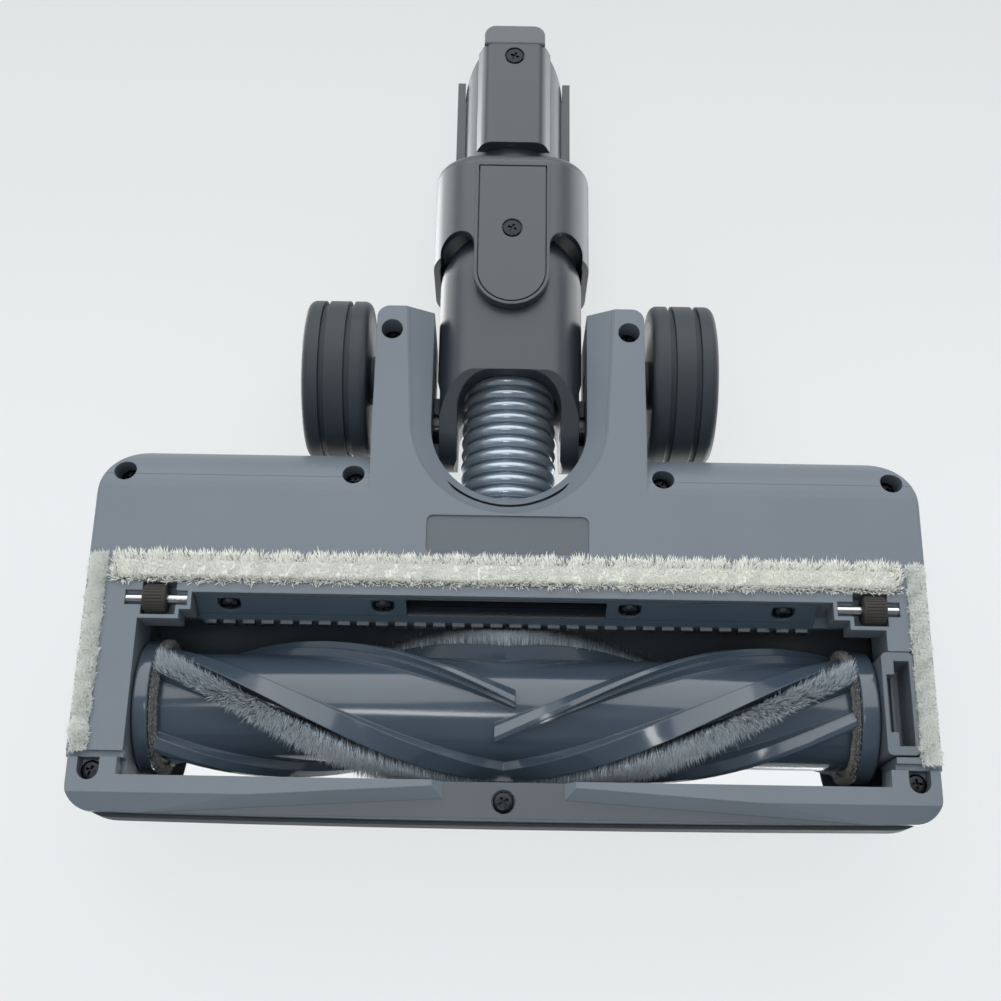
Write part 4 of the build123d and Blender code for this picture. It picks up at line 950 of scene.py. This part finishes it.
for node in ("drive_floor_roller", "latch_floor_roller"):
    tread = ridged_roller(node)
    print(tread.name, len(tread.data.polygons), "faces")

# %% [markdown]
# ## Fibres
# Plush, felt and bristles are thousands of fine fibres. A hair system would be baked away in the
# exported model, so each fibre is a real, very slim three-sided spike with one bend. All fibres of a
# strip go into one mesh at once, which no operator does, so these meshes are filled in by code. A UV
# map stores a random number for each fibre and the way along it, and the finish reads its tones there.

# %% Fibres as one mesh
FIBRE_FACES = [(0, 1, 4, 3), (1, 2, 5, 4), (2, 0, 3, 5), (3, 4, 6), (4, 5, 6), (5, 3, 6)]
FIBRE_POINTS = 7
BEND_AT = 0.55
BEND_WIDTH = 0.42
NEARLY_ALONG_X = 0.8


def fibre_points(roots, bends, tips, widths, turn):
    """Seven points of each spike: three round its root, three round its bend, and its tip."""
    along = tips - roots
    along /= np.linalg.norm(along, axis=1, keepdims=True)
    helper = np.where(np.abs(along[:, :1]) < NEARLY_ALONG_X, [[1.0, 0, 0]], [[0, 1.0, 0]])
    side = np.cross(along, helper)
    side /= np.linalg.norm(side, axis=1, keepdims=True)
    other = np.cross(along, side)
    points = np.empty((len(roots), FIBRE_POINTS, 3))
    for corner in range(3):
        angle = turn + corner * 2 * math.pi / 3
        spoke = side * np.cos(angle)[:, None] + other * np.sin(angle)[:, None]
        points[:, corner] = roots + spoke * widths[:, None] / 2
        points[:, 3 + corner] = bends + spoke * widths[:, None] * BEND_WIDTH
    points[:, 6] = tips
    return points


def fibre_mesh(name, roots, bends, tips, widths, rng):
    """Mesh of three-sided spikes from roots over bends to tips, with a UV map of (random, way along)."""
    count = len(roots)
    turn = rng.uniform(0, 2 * math.pi, count)
    points = fibre_points(roots, bends, tips, widths, turn)
    corners = np.array([corner for face in FIBRE_FACES for corner in face])
    way = np.array([0, 0, 0, BEND_AT, BEND_AT, BEND_AT, 1.0])
    loops = (np.arange(count)[:, None] * FIBRE_POINTS + corners[None, :]).ravel()
    sizes = np.tile([len(face) for face in FIBRE_FACES], count)
    starts = np.concatenate(([0], np.cumsum(sizes)[:-1]))
    mesh = bpy.data.meshes.new(name)
    mesh.vertices.add(count * FIBRE_POINTS)
    mesh.vertices.foreach_set("co", points.ravel())
    mesh.loops.add(len(loops))
    mesh.loops.foreach_set("vertex_index", loops.astype(np.int32))
    mesh.polygons.add(len(sizes))
    mesh.polygons.foreach_set("loop_start", starts.astype(np.int32))
    mesh.polygons.foreach_set("use_smooth", np.ones(len(sizes), bool))
    mesh.update(calc_edges=True)
    uv = mesh.uv_layers.new(name="fibre")
    values = np.empty((count, len(corners), 2))
    values[:, :, 0] = rng.uniform(0, 1, count)[:, None]
    values[:, :, 1] = way[corners][None, :]
    uv.data.foreach_set("uv", values.ravel())
    mesh.validate()
    piece = bpy.data.objects.new(name, mesh)
    scene.collection.objects.link(piece)
    return piece


def fibre_widths(rng, count, width, spread=0.2):
    """Widths that differ from fibre to fibre by up to a share."""
    return rng.uniform(1 - spread, 1 + spread, count) * width


def one_fibre_tone(piece, spot):
    """Puts a whole piece on one spot of the fibre map, so that it has the tone of a fibre there."""
    uv = piece.data.uv_layers[0] if piece.data.uv_layers else piece.data.uv_layers.new()
    uv.name = "fibre"
    for loop in uv.data:
        loop.uv = spot


print("a fibre has", FIBRE_POINTS, "points and", len(FIBRE_FACES), "faces")

# %% [markdown]
# ## Finishes of the fibres
# Pile looks dark between its fibres, where shade falls, and pale at their tips, where the light
# catches them, and no two fibres are quite alike. Noise over the strip would make clouds instead, so
# the tone comes from each fibre's own random number and from the way along it. The root's dark tone
# is painted shade, and the paler tips are painted light.

# %% Fibre finishes
BODY_STARTS = 0.6
TIP_SHARE = 0.7


def fibre_finish(name, root, low, high, tip, roughness=0.7, sheen=0.3):
    """Fibre tones: painted shade at the root, a random tone between two along it, painted light at the
    tip.
    """
    material, tree, shader, coords = blank_material(name)
    uv = tree.nodes.new("ShaderNodeUVMap")
    uv.uv_map = "fibre"
    way = add_axis(tree, uv.outputs[0], "Y")
    body = add_ramp(tree, add_axis(tree, uv.outputs[0], "X"), low, high, 0.0, 1.0)
    # Painted shade: the root's dark tone fades into the fibre's own tone along its first part.
    rise = add_span(tree, way, 0.0, BODY_STARTS, smooth=True)
    tone = mix_tones(tree, rise, (*root, 1), body)
    # Painted light: the tip turns paler.
    late = add_span(tree, way, BODY_STARTS, 1.0, high=TIP_SHARE)
    tone = mix_tones(tree, late, tone, (*tip, 1))
    tree.links.new(tone, shader.inputs["Base Color"])
    cloud = add_noise(tree, coords, per_metre=300)
    set_gloss(tree, shader, cloud, roughness - 0.1, roughness + 0.1)
    shader.inputs["Sheen Weight"].default_value = sheen
    shader.inputs["Specular IOR Level"].default_value = 0.25
    return material


# In each finish the first tone is the roots' painted shade and the last the tips' painted light.
finishes["rear_plush"] = fibre_finish(
    "rear_plush", srgb(178, 182, 175), srgb(236, 238, 230), srgb(246, 247, 240), srgb(250, 251, 246)
)
finishes["side_plush"] = fibre_finish(
    "side_plush", srgb(164, 171, 167), srgb(213, 219, 214), srgb(230, 234, 229), srgb(236, 240, 235)
)
finishes["bristle"] = fibre_finish(
    "bristle", srgb(30, 38, 46), srgb(74, 86, 97), srgb(190, 201, 210), srgb(196, 206, 213),
    roughness=0.45, sheen=0.0,
)
finishes["pile"] = fibre_finish(
    "pile", srgb(40, 43, 46), srgb(80, 83, 84), srgb(140, 141, 137), srgb(164, 162, 155),
    roughness=0.8, sheen=0.1,
)
print("finishes with fibres:", len(finishes))

# %% [markdown]
# ## Plush strips
# A wide strip of white plush seals the back of the brush window, and a narrow one runs along each side.
# A pad with a bump would have a hard outline, so the pile is made of fibres. Under them lies a
# rounded pad, so no gap shows through. Fibres near an edge lean outwards and end higher, as cut pile
# does, slow waves ruffle them, and the rear strip leans back where it has been dragged.

# %% Pad under the pile
PAD_ROUNDING = 1.4 * MM
# The pad takes a spot of the fibre map near the roots, so its tone is partly their painted shade.
PAD_SHADED_SPOT = (0.4, 0.45)


def pile_pad(name, low, high, inset, depth):
    """Rounded pad under a strip's fibres, raised by a depth from the strip's own underside."""
    start_fresh()
    size = high - low
    bpy.ops.mesh.primitive_cube_add(size=1, location=(low + high) / 2)
    pad = name_new(name)
    pad.scale = (size.x - 2 * inset, size.y - 2 * inset, size.z)
    settle(pad)
    pick_faces(pad, faces_down)
    bpy.ops.mesh.bevel(offset=PAD_ROUNDING, segments=4, affect="EDGES")
    shade_smooth(60)
    one_fibre_tone(pad, PAD_SHADED_SPOT)
    pad.data.transform(Matrix.Translation((0, 0, depth)))
    return pad


print("pad edges rounded by", PAD_ROUNDING / MM, "mm")

# %% Plush strips
ROOT_DEPTH = 0.4 * MM
END_LENGTH = 3 * MM
END_LEAN = 0.6 * MM
EDGE_RISE = 1.7 * MM
RUFFLE_WAVES = 5
RUFFLE_PER_METRE = (300, 1100)
RUFFLE_SLANT = 0.7
RUFFLE = 0.25 * MM
TIP_HEIGHT_SPREAD = 0.35 * MM
TIP_CROSS_SPREAD = 0.6 * MM
TIP_LONG_SPREAD = 0.7 * MM
BEND_SAG = 0.3 * MM
LEAST_LEAN = 0.4
REAR_PILE = dict(
    count=21500, width=0.27 * MM, lean_back=0.9 * MM, fan=1.4 * MM, rest=0.05 * MM, loose=0.9,
    pad_inset=1.4 * MM, pad_depth=1.9 * MM,
)
SIDE_PILE = dict(
    count=12500, width=0.26 * MM, lean_back=0.0, fan=0.3 * MM, rest=0.45 * MM, loose=0.75,
    pad_inset=0.8 * MM, pad_depth=2.2 * MM,
)


def ruffle(rng, slant):
    """Sum of a few slow waves over places along a strip, for two ways of leaning."""
    drift = np.zeros((len(slant), 2))
    for _ in range(RUFFLE_WAVES):
        per_metre = rng.uniform(*RUFFLE_PER_METRE, 2)
        shift = rng.uniform(0, 2 * math.pi, 2)
        for way in (0, 1):
            drift[:, way] += np.sin(per_metre[way] * slant + shift[way])
    return drift * RUFFLE


def plush_strip(node, seed, count, width, lean_back, fan, rest, loose, pad_inset, pad_depth):
    """Strip of plush in the place of a CAD node: a pad and its fibres."""
    rng = np.random.default_rng(seed)
    low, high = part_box(node)
    along_x = (high.x - low.x) > (high.y - low.y)
    across = 1 if along_x else 0
    long_axis = 1 - across
    roots = np.empty((count, 3))
    roots[:, 0] = rng.uniform(low.x, high.x, count)
    roots[:, 1] = rng.uniform(low.y, high.y, count)
    roots[:, 2] = high.z - ROOT_DEPTH
    middle = (np.array(low) + np.array(high)) / 2
    half = (np.array(high) - np.array(low)) / 2
    place = (roots[:, across] - middle[across]) / half[across]
    from_middle = roots[:, long_axis] - middle[long_axis]
    past_end = np.clip((np.abs(from_middle) - half[long_axis] + END_LENGTH) / END_LENGTH, 0, 1)
    end = np.sign(from_middle) * past_end
    drift = ruffle(rng, roots[:, long_axis] + RUFFLE_SLANT * roots[:, across])
    tips = roots.copy()
    tips[:, 2] = rest + np.abs(rng.normal(0, TIP_HEIGHT_SPREAD, count)) + EDGE_RISE * np.abs(place) ** 3
    tips[:, across] += place**3 * fan + loose * (rng.normal(0, TIP_CROSS_SPREAD, count) + drift[:, 0])
    tips[:, long_axis] += loose * (rng.normal(0, TIP_LONG_SPREAD, count) + drift[:, 1] + end * END_LEAN)
    if along_x:
        tips[:, 1] += lean_back * (LEAST_LEAN + (1 - LEAST_LEAN) * rng.random(count))
    bends = roots * (1 - BEND_AT) + tips * BEND_AT
    bends[:, 2] -= BEND_SAG
    widths = fibre_widths(rng, count, width, spread=0.25)
    fibres = fibre_mesh(f"{node}_fibres", roots, bends, tips, widths, rng)
    pad = pile_pad(f"{node}_pad", low, high, pad_inset, pad_depth)
    shown = join_pieces([fibres, pad], f"{node}_pile")
    shown.data.materials.clear()
    slot = "rear_plush" if along_x else "side_plush"
    shown.data.materials.append(finishes[slot])
    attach(shown, "head")
    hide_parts(node)
    return shown


strips = [
    plush_strip("rear_plush", 11, **REAR_PILE),
    plush_strip("drive_side_plush", 12, **SIDE_PILE),
    plush_strip("latch_side_plush", 13, **SIDE_PILE),
]
for strip in strips:
    print(strip.name, len(strip.data.polygons), "faces")

# %% [markdown]
# ## Bristles
# Two rows of bristles wind round the roller and meet in the middle as a chevron. A solid ridge would
# look like rubber, so each row is made of fibres. Each one starts on the tube and points outwards with
# a small random lean, and the rows follow the same twist as the ribs that hold them.

# %% Bristle rows
TUBE_RADIUS = 16.0 * MM
TIP_RADIUS = 25.4 * MM
TWIST_PITCH = 266.0 * MM
START_ANGLE = math.radians(162.5)
ROOT_LIFT = 0.1 * MM
ROOT_HALF_WIDTH = 1.9 * MM
TIP_LEAN = -2.0 * MM
TIP_SPREAD = 3.7 * MM
TIP_SHORTER = 0.5 * MM
LEAN_SCATTER = 0.6 * MM
SIDE_SCATTER = 0.9 * MM
PAST_END = 0.8 * MM
BEND_SCATTER = 0.12 * MM
BRISTLE_WIDTH = 0.24 * MM
BRISTLE_COUNT = 18000


def roller_point(x, angle, radius):
    """Points at x and a radius from the roller axis, at an angle from +Y towards +Z."""
    return np.stack((x, ROLLER_Y + radius * np.cos(angle), ROLLER_Z + radius * np.sin(angle)), axis=1)


def bristle_row(node, first_angle, seed):
    """One row of bristles in the place of a CAD node."""
    rng = np.random.default_rng(seed)
    count = BRISTLE_COUNT
    low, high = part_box(node)
    half = (high.x - low.x) / 2
    x = rng.uniform(-half, half, count)
    offset = rng.uniform(-1.0, 1.0, count)
    angle = first_angle + 2 * math.pi / TWIST_PITCH * np.abs(x)
    root_angle = angle + offset * ROOT_HALF_WIDTH / TUBE_RADIUS
    roots = roller_point(x, root_angle, np.full(count, TUBE_RADIUS + ROOT_LIFT))
    tip_radius = TIP_RADIUS - np.abs(rng.normal(0, TIP_SHORTER, count))
    spread = TIP_LEAN + offset * TIP_SPREAD + rng.normal(0, LEAN_SCATTER, count)
    tip_angle = angle + spread / TIP_RADIUS
    tip_x = np.clip(x + rng.normal(0, SIDE_SCATTER, count), -half - PAST_END, half + PAST_END)
    tips = roller_point(tip_x, tip_angle, tip_radius)
    bends = 0.5 * (roots + tips) + rng.normal(0, BEND_SCATTER, (count, 3))
    widths = fibre_widths(rng, count, BRISTLE_WIDTH)
    piece = fibre_mesh(f"{node}_fibres", roots, bends, tips, widths, rng)
    piece.data.materials.append(finishes["bristle"])
    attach(piece, "brush_roller")
    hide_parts(node)
    return piece


rows = [
    bristle_row("bristle_strip_1", START_ANGLE, seed=21),
    bristle_row("bristle_strip_2", START_ANGLE + math.pi, seed=22),
]
for row in rows:
    print(row.name, len(row.data.polygons), "faces")

# %% [markdown]
# ## Felt rings
# The felt rings at the roller's ends keep hair out of the bearings. A plain disc would look like card,
# so a bored disc carries short fibres. They stand out all round its rim, and lean inwards on the face
# that can be seen beside the tube.

# %% Felt rings
FELT_RIM = 1.0 * MM
FELT_BORE_RADIUS = 4.2 * MM
# The disc takes a spot of the fibre map half into the roots' painted shade, so it is darker than its
# fibres.
FELT_SHADED_SPOT = (0.3, 0.3)
FELT_COUNT = 5000
FELT_FIBRE_WIDTH = 0.26 * MM
FACE_STARTS = 1.3 * MM
FACE_DEPTH = 3.2 * MM
FACE_SHARE = 0.42
FACE_INSET = 0.2 * MM
FELT_LENGTHS = (1.0 * MM, 1.8 * MM)
FELT_PROUD = 0.2 * MM
FACE_LEANS = (0.3 * MM, 1.0 * MM)
FELT_SCATTER = 0.3 * MM
FELT_TURN_SCATTER = 0.03


def felt_core(name, low, high, core_radius):
    """Bored disc of a felt ring, along X."""
    start_fresh()
    bpy.ops.mesh.primitive_cylinder_add(
        vertices=64, radius=core_radius, depth=high.x - low.x - 2 * FACE_INSET,
        location=(low + high) / 2, rotation=(0, math.pi / 2, 0),
    )
    core = settle(name_new(name))
    pick_faces(core, faces_sideways)
    bpy.ops.mesh.inset(thickness=core_radius - FELT_BORE_RADIUS)
    bpy.ops.mesh.bridge_edge_loops()
    shade_smooth(35)
    one_fibre_tone(core, FELT_SHADED_SPOT)
    return core


def felt_ring(node, seed):
    """Felt ring in the place of a CAD node: a bored disc with fibres on its rim and inner face."""
    rng = np.random.default_rng(seed)
    count = FELT_COUNT
    low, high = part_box(node)
    radius = (high.z - low.z) / 2
    centre = (low + high) / 2
    inwards = -math.copysign(1.0, centre.x)
    core = felt_core(f"{node}_core", low, high, radius - FELT_RIM)
    angle = rng.uniform(0, 2 * math.pi, count)
    x = rng.uniform(low.x + FACE_INSET, high.x - FACE_INSET, count)
    root_radius = rng.uniform(radius - FACE_DEPTH, radius - FELT_RIM, count)
    tip_radius = np.minimum(root_radius + rng.uniform(*FELT_LENGTHS, count), radius + FELT_PROUD)
    on_face = root_radius < radius - FACE_STARTS
    x = np.where(on_face, centre.x + inwards * (high.x - low.x) * FACE_SHARE, x)
    face_lean = np.where(on_face, rng.uniform(*FACE_LEANS, count), 0.0)
    roots = roller_point(x, angle, root_radius)
    tip_x = x + inwards * face_lean + rng.normal(0, FELT_SCATTER, count)
    tips = roller_point(tip_x, angle + rng.normal(0, FELT_TURN_SCATTER, count), tip_radius)
    bends = 0.5 * (roots + tips)
    widths = fibre_widths(rng, count, FELT_FIBRE_WIDTH)
    fibres = fibre_mesh(f"{node}_rim", roots, bends, tips, widths, rng)
    piece = join_pieces([fibres, core], f"{node}_felt")
    piece.data.materials.clear()
    piece.data.materials.append(finishes["pile"])
    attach(piece, "brush_roller")
    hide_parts(node)
    return piece


for node, seed in (("drive_pile_ring", 31), ("latch_pile_ring", 32)):
    felt = felt_ring(node, seed)
    print(felt.name, len(felt.data.polygons), "faces")
